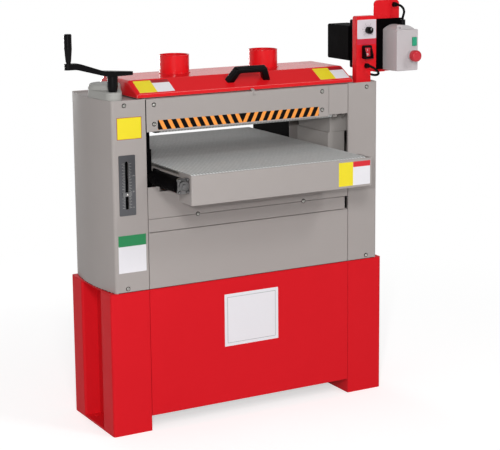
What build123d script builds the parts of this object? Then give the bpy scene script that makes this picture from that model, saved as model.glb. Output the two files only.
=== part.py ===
from build123d import *
import os
from math import cos, radians, sin

# A drum calibrating sander: +X to the operator's right, +Y to the back, +Z up.
# The origin is on the floor, at the middle of the four anchor holes. Millimetres.

os.makedirs("parts", exist_ok=True)

# Stand
STAND_X, STAND_Y, STAND_TOP = 508, 159, 468
LEG_IN = 374                # inner wall of a leg, and inner edge of a column
RECESS_X, RECESS_Y = 455, 74
TOE_GAP = 50
STAND_SHEET, FOOT_SHEET, LEG_BEND = 3, 6, 8
ANCHOR_X, ANCHOR_Y, ANCHOR_R = 482, 50, 6.5
SHELF_Z, SHELF_Y = 130, 115

# Head
SHEET, SEAM = 2, 2.5                # the seam is the open joint beside a panel
HEAD_TOP, HEAD_Y = 1077, 158
BOW_EDGE, BOW_MID = 488, 507        # column side: x at its edges and at its middle
COLUMN_FLANGE, COLUMN_BEND, TOP_SINK = 9, 10, 4
POST_IN, POST_OUT, POST_Y, POST_TOP = 336, 395, 100, 985
POST_WALL, POST_CAP, CAP_Y = 5, 6, 140
LINING_X, LINING_TOP = 330, 907
PANEL_LOW, PANEL_HIGH, PANEL_SPLIT = 972, 1075, 297
MIDDLE_LOW, MIDDLE_TOP, EAR_TOP, EAR_X = 695, 780, 797, 330
BAND_LOW, BAND_GROOVE, BAND_END = 650, 9, 360

# Drums and their drive
DRUM_Y, DRUM_Z, DRUM_R, DRUM_HALF = 68, 1028, 62.5, 320
WRAP = 1.0
SHAFT_R, RUNNING = 15, 0.05
BEARING_X, BEARING_HALF = 365.5, 19
DRUM_PITCH, MOTOR_PITCH = 38, 50
BELT_X, BELT_WIDE, BELT_THICK = (-415, -431), 10, 8
PULLEY_IN, PULLEY_OUT = -405, -441
MOTOR_Z, MOTOR_R = 240, 85
MOTOR_LEFT, MOTOR_RIGHT = -330, -30

# Lift
SCREW_X, SCREW_Y, SCREW_R = 468, 124, 10
SCREW_FOOT, SCREW_TOP, CRANK_SHAFT_TOP = 471, 1066, 1141
SCREWS = {"front_left": (-1, -1), "front_right": (1, -1), "rear_left": (-1, 1), "rear_right": (1, 1)}
CHAIN_Z, CHAIN_TALL, CHAIN_IN, CHAIN_OUT = 485, 7, 18.4, 24
NUT_R, BRACKET_LOW, BRACKET_HIGH = 22, 815, 835
POINTER_X, POINTER_Z = -443.5, 783

# Table
BELT_TOP, TABLE_BELT, TABLE_BELT_X = 862, 3, 316
ROLLER_R, ROLLER_Z, FRONT_ROLLER_Y, REAR_ROLLER_Y = 28, 831, -336, 424
JOURNAL_R, GAP = 10, 0.3
SIDE_IN, SIDE_OUT = 319, 325
APRON_X, APRON_FRONT, APRON_BACK, APRON_LOW = 327, -374, -289, 770
GEAR_X, GEAR_FRONT = -352.5, -350
PRESS_Y, PRESS_Z, PRESS_R, PRESS_JOURNAL = 134, 980, 16, 8

# Hood
HOOD_LEFT, HOOD_RIGHT, HOOD_LOW = -393, 404, 1077.5
HOOD_FRONT, HOOD_LIP, HOOD_FOLD, HOOD_TOP = -139, 1089, -70, 1127
HOOD_REAR_FOLD, HOOD_REAR, HOOD_REAR_LIP = 118, 176, 1088
PORT_X, PORT_Y, PORT_R, PORT_TOP = 167, 55, 49, 1187
HINGE_Y, HINGE_Z, HINGE_R, HINGE_X = 186, 1070, 6, 250

# Crank
HOUSING_X, HOUSING_Y, HOUSING_R, HOUSING_TOP = -454, -28, 52, 1120
BOSS_R, BOSS_TOP = 28, 1102
HUB_R, HUB_TOP = 16.5, 1152
GRIP_X, GRIP_LOW, GRIP_HIGH, PIN_R = -612, 1203, 1287, 5

# Controls
POST_LEFT, POST_RIGHT, POST_FRONT, POST_BACK, CONTROL_TOP = 418, 497, -139, -114, 1297
BRACKET_X, BRACKET_TOP, BRACKET_Y = 600, 1347, -124
BOX_LEFT, BOX_RIGHT, BOX_FRONT, BOX_LOW, BOX_HIGH = 533, 619, -190, 1112, 1248
COVER_FRONT = -210
CONTROLLER_FRONT, CONTROLLER_BACK, CONTROLLER_LOW, CONTROLLER_HIGH, PLATE_HIGH = -93, 37, 1145, 1262, 1284
KNOB_X, KNOB_Z = 463, 1249
ROCKER_X, ROCKER_Z = 456.5, 1176
START_X, START_Z = 603, 1209
STOP_X, STOP_Z = 590, 1163
LEAD_R = 4


def block(x0, x1, y0, y1, z0, z1):
    """A box given by its two limits on each axis."""
    return Pos((x0 + x1) / 2, (y0 + y1) / 2, (z0 + z1) / 2) * Box(x1 - x0, y1 - y0, z1 - z0)


def rod(axis, start, length, radius):
    """A cylinder that starts at a point and runs along +X, +Y or +Z."""
    turn = {"X": Rot(0, 90, 0), "Y": Rot(-90, 0, 0), "Z": Rot(0, 0, 0)}[axis]
    return Pos(*start) * turn * Cylinder(radius, length, align=(Align.CENTER, Align.CENTER, Align.MIN))


def along_x(sketch, x0, x1):
    """An outline drawn in Y and Z, extruded from x0 to x1."""
    plane = Plane(origin=(x0, 0, 0), x_dir=(0, 1, 0), z_dir=(1, 0, 0))
    return extrude(plane * sketch, x1 - x0, dir=(1, 0, 0))


def along_y(sketch, y0, y1):
    """An outline drawn in X and Z, extruded from y0 to y1."""
    plane = Plane(origin=(0, y0, 0), x_dir=(1, 0, 0), z_dir=(0, -1, 0))
    return extrude(plane * sketch, y1 - y0, dir=(0, 1, 0))


def along_z(sketch, z0, z1):
    """An outline drawn in X and Y, extruded from z0 to z1."""
    return extrude(Pos(0, 0, z0) * sketch, z1 - z0, dir=(0, 0, 1))


def outline(*points):
    """A closed polygon that keeps its own coordinates."""
    return Polygon(*points, align=None)


def frame_of(x0, x1, y0, y1):
    """A rectangle given by its limits."""
    return Pos((x0 + x1) / 2, (y0 + y1) / 2) * Rectangle(x1 - x0, y1 - y0)


def turned(steps, y, z):
    """A body of revolution about a line along X, from steps of (x0, x1, inner r, outer r)."""
    profile = frame_of(*steps[0])
    for step in steps[1:]:
        profile += frame_of(*step)
    return Pos(0, y, z) * revolve(Plane.XZ * profile, Axis.X)


def hull(*circles):
    """The outline of a loop stretched round circles of (u, v, radius)."""
    edges = [edge for u, v, r in circles for edge in (Pos(u, v) * Circle(r)).edges()]
    return make_hull(edges)


def mirrored(shape):
    """The same shape on the other side of the machine."""
    return mirror(shape, about=Plane.YZ)


def save(node, *shapes):
    """Write one node, as one solid or as a group of separate solids."""
    solids = [solid for shape in shapes for solid in shape.solids()]
    export_step(solids[0] if len(solids) == 1 else Compound(solids), f"parts/{node}.step")


# Stand
def leg():
    """Right leg: one folded sheet round a front and a rear post, on a foot plate."""
    plan = outline((LEG_IN, -STAND_Y), (STAND_X, -STAND_Y), (STAND_X, -RECESS_Y), (RECESS_X, -RECESS_Y),
                   (RECESS_X, RECESS_Y), (STAND_X, RECESS_Y), (STAND_X, STAND_Y), (LEG_IN, STAND_Y))
    plan = fillet(plan.vertices().group_by(Axis.X)[-1], LEG_BEND)
    wall = along_z(plan - offset(plan, -STAND_SHEET), FOOT_SHEET, STAND_TOP - STAND_SHEET)
    foot = block(LEG_IN, STAND_X, -STAND_Y, STAND_Y, 0, FOOT_SHEET)
    foot = fillet(foot.edges().filter_by(Axis.Z).group_by(Axis.X)[-1], LEG_BEND)
    for side in (-1, 1):
        foot -= rod("Z", (ANCHOR_X, side * ANCHOR_Y, 0), FOOT_SHEET, ANCHOR_R)
    return wall + foot


def stand_panel():
    """Rear panel of the stand, with a stiffening fold along its lower edge."""
    fold = 26
    top = STAND_TOP - STAND_SHEET
    section = outline((STAND_Y, TOE_GAP), (STAND_Y, top), (STAND_Y - STAND_SHEET, top),
                      (STAND_Y - STAND_SHEET, TOE_GAP + STAND_SHEET),
                      (STAND_Y - fold, TOE_GAP + STAND_SHEET), (STAND_Y - fold, TOE_GAP))
    seam, back = 1.5, STAND_Y - fold
    edge = frame_of(LEG_IN - seam - STAND_SHEET, LEG_IN - seam, back, STAND_Y)
    edge += frame_of(LEG_IN - seam - STAND_SHEET, LEG_IN, back, back + STAND_SHEET)
    edge = along_z(edge, TOE_GAP, top)
    return along_x(section, seam - LEG_IN, LEG_IN - seam) + edge + mirrored(edge)


def screw_bearing():
    """Flanged foot bearing of one lead screw, standing on its own base."""
    body = rod("Z", (0, 0, 0), 5, 22) + rod("Z", (0, 0, 0), 13, 16)
    return body - rod("Z", (0, 0, 0), 13, SCREW_R + RUNNING)


def build_stand():
    shaft_hole = rod("X", (-LEG_IN - 2 * STAND_SHEET, 0, MOTOR_Z), 3 * STAND_SHEET, 30)
    save("base_right_leg", leg())
    save("base_left_leg", mirrored(leg()) - shaft_hole)

    save("base_front_panel", mirror(stand_panel(), about=Plane.XZ))
    rear = stand_panel()
    slot_long, slot_tall, slot_step = 90, 7, 22
    for column in (-1, 1):
        for row in range(6):
            slot = Pos(column * 75, 170 + row * slot_step) * SlotOverall(slot_long, slot_tall)
            rear -= along_y(slot, STAND_Y - 2 * STAND_SHEET, STAND_Y + STAND_SHEET)
    save("base_rear_panel", rear)

    deck = block(-STAND_X, STAND_X, -STAND_Y, STAND_Y, STAND_TOP - STAND_SHEET, STAND_TOP)
    deck = fillet(deck.edges().filter_by(Axis.Z), LEG_BEND)
    belt_slot_y = 92
    deck -= block(PULLEY_OUT - 5, PULLEY_IN + 5, -belt_slot_y, belt_slot_y, 0, STAND_TOP)
    for side, end in SCREWS.values():
        deck += Pos(side * SCREW_X, end * SCREW_Y, STAND_TOP) * screw_bearing()
    save("base_deck", deck)

    lip = 30
    section = frame_of(-SHELF_Y, SHELF_Y, SHELF_Z - lip, SHELF_Z)
    section -= frame_of(-SHELF_Y + STAND_SHEET, SHELF_Y - STAND_SHEET, 0, SHELF_Z - STAND_SHEET)
    save("motor_shelf", along_x(section, -LEG_IN, LEG_IN))


# Motor, belts and drums
def pulley_steps(pitch):
    """Steps of a grooved pulley: a solid core and the walls beside each belt."""
    floor = pitch - BELT_THICK / 2 - GAP
    rim = pitch + BELT_THICK / 2 - 1
    edge = BELT_WIDE / 2 + GAP
    walls = [PULLEY_OUT]
    for x in sorted(BELT_X):
        walls += [x - edge, x + edge]
    walls.append(PULLEY_IN)
    steps = [(PULLEY_OUT, PULLEY_IN, 0, floor)]
    for left, right in zip(walls[::2], walls[1::2]):
        steps.append((left, right, 0, rim))
    return steps


def main_motor():
    """Foot-mounted motor: bells, finned body, fan cowl, terminal box and two feet."""
    bell, cowl = 34, 58
    body_left, body_right = MOTOR_LEFT + bell, MOTOR_RIGHT - cowl
    barrel_r = MOTOR_R - 12
    bore_r = SHAFT_R + RUNNING
    motor = turned([(MOTOR_LEFT, body_left, bore_r, 62), (MOTOR_LEFT + 14, body_left, bore_r, MOTOR_R),
                    (body_left, body_right, bore_r, barrel_r), (body_right, MOTOR_RIGHT, 0, MOTOR_R)],
                   0, 0)
    motor = fillet(motor.edges().filter_by(GeomType.CIRCLE).sort_by(Axis.X)[-1], 14)
    fin = block(body_left, body_right, -1.5, 1.5, barrel_r - 2, MOTOR_R - 2)
    count = 24
    for i in range(count):
        motor += Rot(360 / count * i, 0, 0) * fin
    motor += fillet(block(-230, -130, -45, 45, barrel_r - 10, 120).edges().filter_by(Axis.Z), 8)
    motor = Pos(0, 0, MOTOR_Z) * motor
    for x in (body_left + 12, body_right - 42):
        motor += block(x, x + 30, -80, 80, SHELF_Z, SHELF_Z + 14)
        motor += block(x, x + 30, -48, 48, SHELF_Z, MOTOR_Z - barrel_r + 16)
    return motor


def drum(y):
    """Tube on two webs with lightening holes, its shaft and its pulley."""
    wall, web_x, web = 8, 296, 12
    steps = [(-DRUM_HALF, DRUM_HALF, DRUM_R - wall, DRUM_R), (PULLEY_OUT, 392, 0, SHAFT_R)]
    for x in (-web_x - web, web_x):
        steps.append((x, x + web, 0, DRUM_R - wall + 1))
    body = turned(steps + pulley_steps(DRUM_PITCH), y, DRUM_Z)
    hole_at, hole_r, count = 35, 11, 5
    for i in range(count):
        turn = radians(360 / count * i)
        start = (-DRUM_HALF, y + hole_at * cos(turn), DRUM_Z + hole_at * sin(turn))
        body -= rod("X", start, 2 * DRUM_HALF, hole_r)
    return body


def pillow_block(x, y):
    """Cast bearing housing that stands on a post."""
    tall = DRUM_Z - POST_TOP
    foot = frame_of(-60, 60, 0, 14)
    ring = Pos(0, tall) * Circle(34)
    cheek = outline((-40, 0), (40, 0), (32, tall), (-32, tall))
    section = foot + ring + cheek - Pos(0, tall) * Circle(SHAFT_R + RUNNING)
    return Pos(0, y, POST_TOP) * along_x(section, x - BEARING_HALF, x + BEARING_HALF)


def build_drive():
    save("main_motor", main_motor())
    shaft_end = MOTOR_LEFT + 60
    save("motor_rotor", turned([(PULLEY_OUT, shaft_end, 0, SHAFT_R)] + pulley_steps(MOTOR_PITCH),
                               0, MOTOR_Z))
    centres = [(0, MOTOR_Z, MOTOR_PITCH), (-DRUM_Y, DRUM_Z, DRUM_PITCH), (DRUM_Y, DRUM_Z, DRUM_PITCH)]
    half = BELT_THICK / 2
    loop = hull(*[(y, z, r + half) for y, z, r in centres])
    loop -= hull(*[(y, z, r - half) for y, z, r in centres])
    save("drive_belts", *[along_x(loop, x - BELT_WIDE / 2, x + BELT_WIDE / 2) for x in BELT_X])

    for name, y in (("front", -DRUM_Y), ("rear", DRUM_Y)):
        save(f"drum_{name}", drum(y))
        sleeve = [(-DRUM_HALF + 2, DRUM_HALF - 2, DRUM_R, DRUM_R + WRAP)]
        save(f"abrasive_wrap_{name}", turned(sleeve, y, DRUM_Z))
    save("drum_bearings", *[pillow_block(side * BEARING_X, y) for side in (-1, 1) for y in (-DRUM_Y, DRUM_Y)])


# Head: posts, covers and panels
def post():
    """Right frame post: square tube, inner lining plate, cap plate on two gussets."""
    tube = frame_of(POST_IN, POST_OUT, -POST_Y, POST_Y)
    tube -= frame_of(POST_IN + POST_WALL, POST_OUT - POST_WALL, -POST_Y + POST_WALL, POST_Y - POST_WALL)
    cap_low = POST_TOP - POST_CAP
    body = along_z(tube, STAND_TOP, cap_low)
    body += block(POST_IN, POST_OUT, -CAP_Y, CAP_Y, cap_low, POST_TOP)
    body += block(LINING_X, POST_IN, -POST_Y, POST_Y, STAND_TOP, LINING_TOP)
    gusset = outline((POST_Y, cap_low), (CAP_Y - 4, cap_low), (POST_Y, cap_low - 30))
    for x in (POST_IN + 8, POST_OUT - 14):
        web = along_x(gusset, x, x + POST_CAP)
        body += web + mirror(web, about=Plane.XZ)
    seat = roller_seat()
    return body + seat + mirror(seat, about=Plane.XZ)


def roller_seat():
    """Bearing seat of a pressure roller, welded to the inner edge of a post's cap."""
    low, high, half, wide = 965, 1004, 13, 14
    seat = block(POST_IN - wide, POST_IN, PRESS_Y - half, PRESS_Y + half, low, high)
    seat = fillet(seat.edges().filter_by(Axis.X), 4)
    return seat - rod("X", (POST_IN - wide, PRESS_Y, PRESS_Z), wide, PRESS_JOURNAL + RUNNING)


def column_plan():
    """Plan of the right column: flat front and rear, bowed outer side."""
    side = ThreePointArc((BOW_EDGE, -HEAD_Y), (BOW_MID, 0), (BOW_EDGE, HEAD_Y))
    rest = Polyline((BOW_EDGE, HEAD_Y), (LEG_IN, HEAD_Y), (LEG_IN, -HEAD_Y), (BOW_EDGE, -HEAD_Y))
    plan = make_face([side.edge()] + list(rest.edges()))
    return fillet(plan.vertices().group_by(Axis.X)[-1], COLUMN_BEND)


def column_cover():
    """Right column cover: bent sheet with inner flanges and a top plate sunk below its rim."""
    plan = column_plan()
    wall = plan - offset(plan, -SHEET, kind=Kind.INTERSECTION)
    flange_y = HEAD_Y - COLUMN_FLANGE
    wall -= frame_of(LEG_IN - 1, LEG_IN + 3 * SHEET, -flange_y, flange_y)
    top = HEAD_TOP - TOP_SINK
    return along_z(wall, STAND_TOP, HEAD_TOP) + along_z(plan, top - SHEET, top)


def panel_edge(low, high):
    """Right edge of a front panel: folded back, with a lap on the column's flange behind the seam."""
    inner, outer, back = LEG_IN - SEAM - SHEET, LEG_IN - SEAM, -HEAD_Y + COLUMN_FLANGE
    plan = frame_of(inner, outer, -HEAD_Y, back) + frame_of(inner, LEG_IN, back - SHEET, back)
    return along_z(plan, low, high)


def upper_panel(x0, x1, low):
    """Upper front panel: flat sheet with a fold at its top and a short one at its lower edge."""
    top_fold, low_fold = 28, 6
    section = frame_of(-HEAD_Y, -HEAD_Y + SHEET, low, PANEL_HIGH)
    section += frame_of(-HEAD_Y, -HEAD_Y + top_fold, PANEL_HIGH - SHEET, PANEL_HIGH)
    section += frame_of(-HEAD_Y, -HEAD_Y + low_fold, low, low + SHEET)
    return along_x(section, x0, x1)


def upper_panels():
    """Upper front panel and the filler at its right, with a lap strap behind their joint."""
    joint, strap_half, filler_low = 0.75, 12, PANEL_LOW + 5
    side, inside = LEG_IN - SEAM, -HEAD_Y + SHEET
    main = upper_panel(-side, PANEL_SPLIT - joint, PANEL_LOW) + mirrored(panel_edge(PANEL_LOW, PANEL_HIGH))
    filler = upper_panel(PANEL_SPLIT + joint, side, filler_low) + panel_edge(filler_low, PANEL_HIGH)
    strap = block(PANEL_SPLIT - strap_half, PANEL_SPLIT + strap_half, inside, inside + SHEET,
                  filler_low + SHEET, PANEL_HIGH - SHEET)
    return main, filler + strap


def middle_panel():
    """Panel below the table, with an ear on each side of it."""
    side = LEG_IN - SEAM
    front = outline((-side, MIDDLE_LOW), (side, MIDDLE_LOW), (side, EAR_TOP), (EAR_X, EAR_TOP),
                    (EAR_X, MIDDLE_TOP), (-EAR_X, MIDDLE_TOP), (-EAR_X, EAR_TOP), (-side, EAR_TOP))
    sheet = along_y(front, -HEAD_Y, -HEAD_Y + SHEET)
    sheet += block(-side, side, -HEAD_Y, -HEAD_Y + COLUMN_FLANGE, MIDDLE_LOW, MIDDLE_LOW + SHEET)
    edge = panel_edge(MIDDLE_LOW, EAR_TOP)
    return sheet + edge + mirrored(edge)


def lower_panel():
    """Lowest front panel: folded into a groove and forward again into the band under the middle panel."""
    front, back = -HEAD_Y, -HEAD_Y + BAND_GROOVE
    low, high, side = BAND_LOW + SEAM, MIDDLE_LOW - SEAM / 2, LEG_IN - SEAM
    section = frame_of(front, front + SHEET, STAND_TOP, BAND_LOW) + frame_of(front, back, BAND_LOW - SHEET, BAND_LOW)
    section += frame_of(back - SHEET, back, BAND_LOW - SHEET, low + SHEET) + frame_of(front, back, low, low + SHEET)
    section += frame_of(front, front + SHEET, low, high) + frame_of(front, back, high - SHEET, high)
    panel = along_x(section, -side, side) - block(BAND_END, LEG_IN, front - 1, back + 1, low, MIDDLE_LOW)
    return panel + panel_edge(STAND_TOP, BAND_LOW) + mirrored(panel_edge(STAND_TOP, high))


def rear_panel():
    """Rear panel of the head with the outfeed window and a fold along its top."""
    sheet = block(-LEG_IN, LEG_IN, HEAD_Y - SHEET, HEAD_Y, STAND_TOP, PANEL_HIGH)
    sheet -= block(-LINING_X, LINING_X, 0, STAND_Y, MIDDLE_TOP - 8, PANEL_LOW)
    return sheet + block(-LEG_IN, LEG_IN, HEAD_Y - 28, HEAD_Y, PANEL_HIGH - SHEET, PANEL_HIGH)


def scale_plate():
    """Scale plate on the left column, with the slot that the pointer runs in."""
    plate = fillet(frame_of(-470, -414, 715, 906).vertices(), 3)
    return along_y(plate - scale_slot(), -HEAD_Y - 1.5, -HEAD_Y)


def scale_slot():
    """Upright slot with round ends."""
    long, wide, middle_z = 153, 11, 810.5
    return Pos(POINTER_X, middle_z) * Rot(0, 0, 90) * SlotOverall(long, wide)


def screw_heads():
    """Domed heads of the panel screws, as (x, z) on the front of the head."""
    places = [(-345, 1057), (-345, 996), (271, 1057), (271, 996), (-197, MIDDLE_LOW), (197, MIDDLE_LOW)]
    places += [(side * x, z) for side in (-1, 1) for x, z in ((447, 1061), (447, 480))]
    heads = []
    for x, z in places:
        head = rod("Y", (x, -HEAD_Y - 3, z), 3, 5.5)
        heads.append(fillet(head.edges().group_by(Axis.Y)[0], 1.5))
    return heads


def build_head():
    save("right_post", post())
    save("left_post", mirrored(post()))
    save("right_column_cover", column_cover())
    left = mirrored(column_cover()) - along_y(scale_slot(), -HEAD_Y - 1, -HEAD_Y + 2 * SHEET)
    left -= rod("Z", (-SCREW_X, -SCREW_Y, HEAD_TOP - TOP_SINK - 2 * SHEET), 3 * SHEET, SCREW_R + 4)
    save("left_column_cover", left)
    save("upper_front_panels", *upper_panels())
    save("middle_panel", middle_panel())
    save("lower_panel", lower_panel())
    save("rear_panel", rear_panel())
    save("scale_plate", scale_plate())
    save("panel_screws", *screw_heads())
    for name, end in (("infeed", -1), ("outfeed", 1)):
        steps = [(-316, 316, 0, PRESS_R), (-POST_IN + 1, POST_IN - 1, 0, PRESS_JOURNAL)]
        save(f"{name}_roller", turned(steps, end * PRESS_Y, PRESS_Z))


# Lift: four screws turned together by a chain, nuts and brackets on the table
def lead_screw(top):
    """One lead screw with a toothed sprocket near its foot."""
    teeth, tip, root = 14, CHAIN_IN - 0.4, CHAIN_IN - 3.4
    points = []
    for i in range(teeth):
        for share, radius in ((-0.3, root), (-0.12, tip), (0.12, tip), (0.3, root)):
            turn = radians(360 / teeth * (i + share))
            points.append((radius * cos(turn), radius * sin(turn)))
    sprocket = along_z(outline(*points), CHAIN_Z + 1, CHAIN_Z + CHAIN_TALL - 1)
    return rod("Z", (0, 0, SCREW_FOOT), top - SCREW_FOOT, SCREW_R) + sprocket


def lift_bracket():
    """Rear right bracket: flange on the table's side plate, arm and eye round the nut."""
    arm_half, nut_bore = 12, 15
    plan = frame_of(SIDE_OUT, SCREW_X, SCREW_Y - arm_half, SCREW_Y + arm_half)
    plan += Pos(SCREW_X, SCREW_Y) * Circle(NUT_R)
    plan -= Pos(SCREW_X, SCREW_Y) * Circle(nut_bore)
    flange = block(SIDE_OUT, SIDE_OUT + 4, POST_Y + 4, CAP_Y + 10, BRACKET_LOW - 16, BRACKET_HIGH + 13)
    flange = fillet(flange.edges().filter_by(Axis.X), 6)
    rib = outline((SIDE_OUT + 4, BRACKET_LOW), (SIDE_OUT + 60, BRACKET_LOW), (SIDE_OUT + 4, BRACKET_LOW - 14))
    return along_z(plan, BRACKET_LOW, BRACKET_HIGH) + flange + along_y(rib, SCREW_Y - 3, SCREW_Y + 3)


def lift_nut():
    """Flanged bronze nut at the rear right screw."""
    nut = rod("Z", (0, 0, BRACKET_LOW - 12), BRACKET_HIGH - BRACKET_LOW + 12, 15)
    nut += rod("Z", (0, 0, BRACKET_HIGH), 6, 20)
    nut -= rod("Z", (0, 0, BRACKET_LOW - 20), 60, SCREW_R + GAP)
    return Pos(SCREW_X, SCREW_Y, 0) * nut


def at_corners(shape):
    """The rear right shape, repeated at the four corners."""
    right = [shape, mirror(shape, about=Plane.XZ)]
    return right + [mirrored(item) for item in right]


def pointer():
    """Pointer strip on the front left bracket, with the pin that shows in the scale slot."""
    front = -SCREW_Y - 12
    strip = block(POINTER_X - 6, POINTER_X + 6, front - 4, front, POINTER_Z - 8, BRACKET_HIGH)
    return strip + rod("Y", (POINTER_X, -HEAD_Y - 4, POINTER_Z), HEAD_Y + front, 4)


def crank_housing():
    """Pear-shaped casting: low boss round the screw, higher round end with a domed edge."""
    plan = hull((HOUSING_X, HOUSING_Y, HOUSING_R), (-SCREW_X, -SCREW_Y, BOSS_R))
    body = fillet(along_z(plan, HEAD_TOP, BOSS_TOP).edges().group_by(Axis.Z)[-1], 5)
    dome = rod("Z", (HOUSING_X, HOUSING_Y, HEAD_TOP), HOUSING_TOP - HEAD_TOP, HOUSING_R - 0.5)
    body += fillet(dome.edges().group_by(Axis.Z)[-1], 12)
    seat = HEAD_TOP - TOP_SINK
    inside_rim = offset(mirrored(column_plan()), -SHEET - GAP, kind=Kind.INTERSECTION)
    body += along_z(plan & inside_rim, seat, HEAD_TOP)
    return body - rod("Z", (-SCREW_X, -SCREW_Y, seat), BOSS_TOP - seat, SCREW_R + RUNNING)


def crank_arm():
    """S-bent cranked arm, thicker towards the grip, with its tapered hub and the grip's pin."""
    # The tail stops short of the hood, which swings up beside it.
    y, tail, end = -SCREW_Y, HOOD_LEFT - 6, GRIP_X - 13
    side = outline((tail, 1151), (-490, 1151), (-590, 1178), (end, 1178),
                   (end, 1197), (-582, 1197), (-500, 1169), (tail, 1162))
    bends = side.vertices().filter_by_position(Axis.X, -595, -485)
    side = fillet(bends, 60)
    plan = hull((-SCREW_X, y, 17), (end + 11, y, 11)) + hull((-SCREW_X, y, 17), (tail - 9, y, 9))
    arm = along_y(side, y - 20, y + 20) & along_z(plan, HUB_TOP - 20, GRIP_LOW)
    foot, taper, wall = BOSS_TOP + 0.5, 16, 3.5
    hub = rod("Z", (-SCREW_X, y, foot + taper), HUB_TOP - foot - taper, HUB_R)
    hub += Pos(-SCREW_X, y, foot) * Cone(SCREW_R + wall, HUB_R, taper, align=(Align.CENTER, Align.CENTER, Align.MIN))
    hub -= rod("Z", (-SCREW_X, y, foot), CRANK_SHAFT_TOP + 1 - foot, SCREW_R)
    seat, pin_top = 1187, GRIP_HIGH - 6
    pin = rod("Z", (GRIP_X, y, seat), pin_top - seat, PIN_R)
    collar = rod("Z", (GRIP_X, y, seat), GRIP_LOW - GAP - seat, PIN_R + 2.5)
    return arm + hub + pin + collar


def crank_grip():
    """Grip that spins on its pin: ringed upper half, tapering to its foot."""
    bore, radius, straight = PIN_R + RUNNING, 12, GRIP_HIGH - 44
    profile = outline((0, GRIP_HIGH), (radius - 2, GRIP_HIGH), (radius, GRIP_HIGH - 3), (radius, straight),
                      (8.5, GRIP_LOW), (bore, GRIP_LOW), (bore, GRIP_HIGH - 5), (0, GRIP_HIGH - 5))
    for i in range(6):
        z = straight + 4 + 6 * i
        profile -= frame_of(radius - 0.8, radius + 1, z, z + 2)
    return Pos(GRIP_X, -SCREW_Y, 0) * revolve(Plane.XZ * profile, Axis.Z)


def build_lift():
    for name, (side, end) in SCREWS.items():
        top = CRANK_SHAFT_TOP if name == "front_left" else SCREW_TOP
        save(f"lead_screw_{name}", Pos(side * SCREW_X, end * SCREW_Y, 0) * lead_screw(top))
    loop = hull(*[(side * SCREW_X, end * SCREW_Y, CHAIN_OUT) for side, end in SCREWS.values()])
    loop -= hull(*[(side * SCREW_X, end * SCREW_Y, CHAIN_IN) for side, end in SCREWS.values()])
    save("lift_chain", along_z(loop, CHAIN_Z, CHAIN_Z + CHAIN_TALL))
    save("lift_brackets", *at_corners(lift_bracket()), *at_corners(lift_nut()))
    save("pointer", pointer())
    save("crank_housing", crank_housing())
    save("crank_arm", crank_arm())
    save("crank_grip", crank_grip())


# Table: bed, conveyor belt, rollers and their gear motor
def table_bed():
    """Bed between the belt's two runs: a channel with three cross ribs."""
    top, low, front, back = BELT_TOP - TABLE_BELT - 0.5, 808, -305, 393
    section = frame_of(-SIDE_IN, SIDE_IN, low, top)
    section -= frame_of(-TABLE_BELT_X, TABLE_BELT_X, low - 1, top - 3)
    bed = along_y(section, front, back)
    for y in (-200, 40, 280):
        bed += block(-TABLE_BELT_X, TABLE_BELT_X, y, y + 3, low + 4, top - 3)
    return bed


def side_plate():
    """Right side plate of the table, with a bearing hole in front and a take-up slot behind."""
    plate = fillet(frame_of(-366, 449, 798, 850).vertices(), 12)
    plate -= Pos(FRONT_ROLLER_Y, ROLLER_Z) * Circle(JOURNAL_R + RUNNING)
    plate -= Pos(REAR_ROLLER_Y, ROLLER_Z) * SlotOverall(46, 2 * JOURNAL_R + 1)
    return along_x(plate, SIDE_IN, SIDE_OUT)


def takeup_block():
    """Right rear bearing block with its tension screw."""
    body = block(SIDE_OUT, SIDE_OUT + 12, REAR_ROLLER_Y - 21, REAR_ROLLER_Y + 21, ROLLER_Z - 19, ROLLER_Z + 19)
    body = fillet(body.edges().filter_by(Axis.X), 5)
    body -= rod("X", (SIDE_OUT - 1, REAR_ROLLER_Y, ROLLER_Z), 14, JOURNAL_R + RUNNING)
    lug_y = REAR_ROLLER_Y - 70
    lug = block(SIDE_OUT, SIDE_OUT + 12, lug_y, lug_y + 6, ROLLER_Z - 12, ROLLER_Z + 12)
    return body + lug + rod("Y", (SIDE_OUT + 6, lug_y - 12, ROLLER_Z), 62, 4)


def table_apron():
    """Front apron: sheet bent round the table's front corners, folded in at the bottom and the top."""
    outer = fillet(frame_of(-APRON_X, APRON_X, APRON_FRONT, APRON_BACK).vertices().group_by(Axis.Y)[0], 5)
    inner = frame_of(-APRON_X + SHEET, APRON_X - SHEET, APRON_FRONT + SHEET, APRON_BACK + 1)
    inner = fillet(inner.vertices().group_by(Axis.Y)[0], 3)
    apron = along_z(outer - inner, APRON_LOW, BELT_TOP)
    bottom_fold, top_fold = 28, 3
    rim = frame_of(-APRON_X + SHEET / 2, APRON_X - SHEET / 2, APRON_FRONT + 6, APRON_FRONT + bottom_fold)
    apron += along_z(outer & (rim + frame_of(-300, 300, APRON_FRONT, APRON_FRONT + 7)), APRON_LOW, APRON_LOW + SHEET)
    apron += block(-300, 300, APRON_FRONT + SHEET / 2, APRON_FRONT + SHEET + top_fold, BELT_TOP - SHEET, BELT_TOP)
    return apron - rod("X", (-APRON_X - 1, FRONT_ROLLER_Y, ROLLER_Z), 5, JOURNAL_R + 2)


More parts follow.
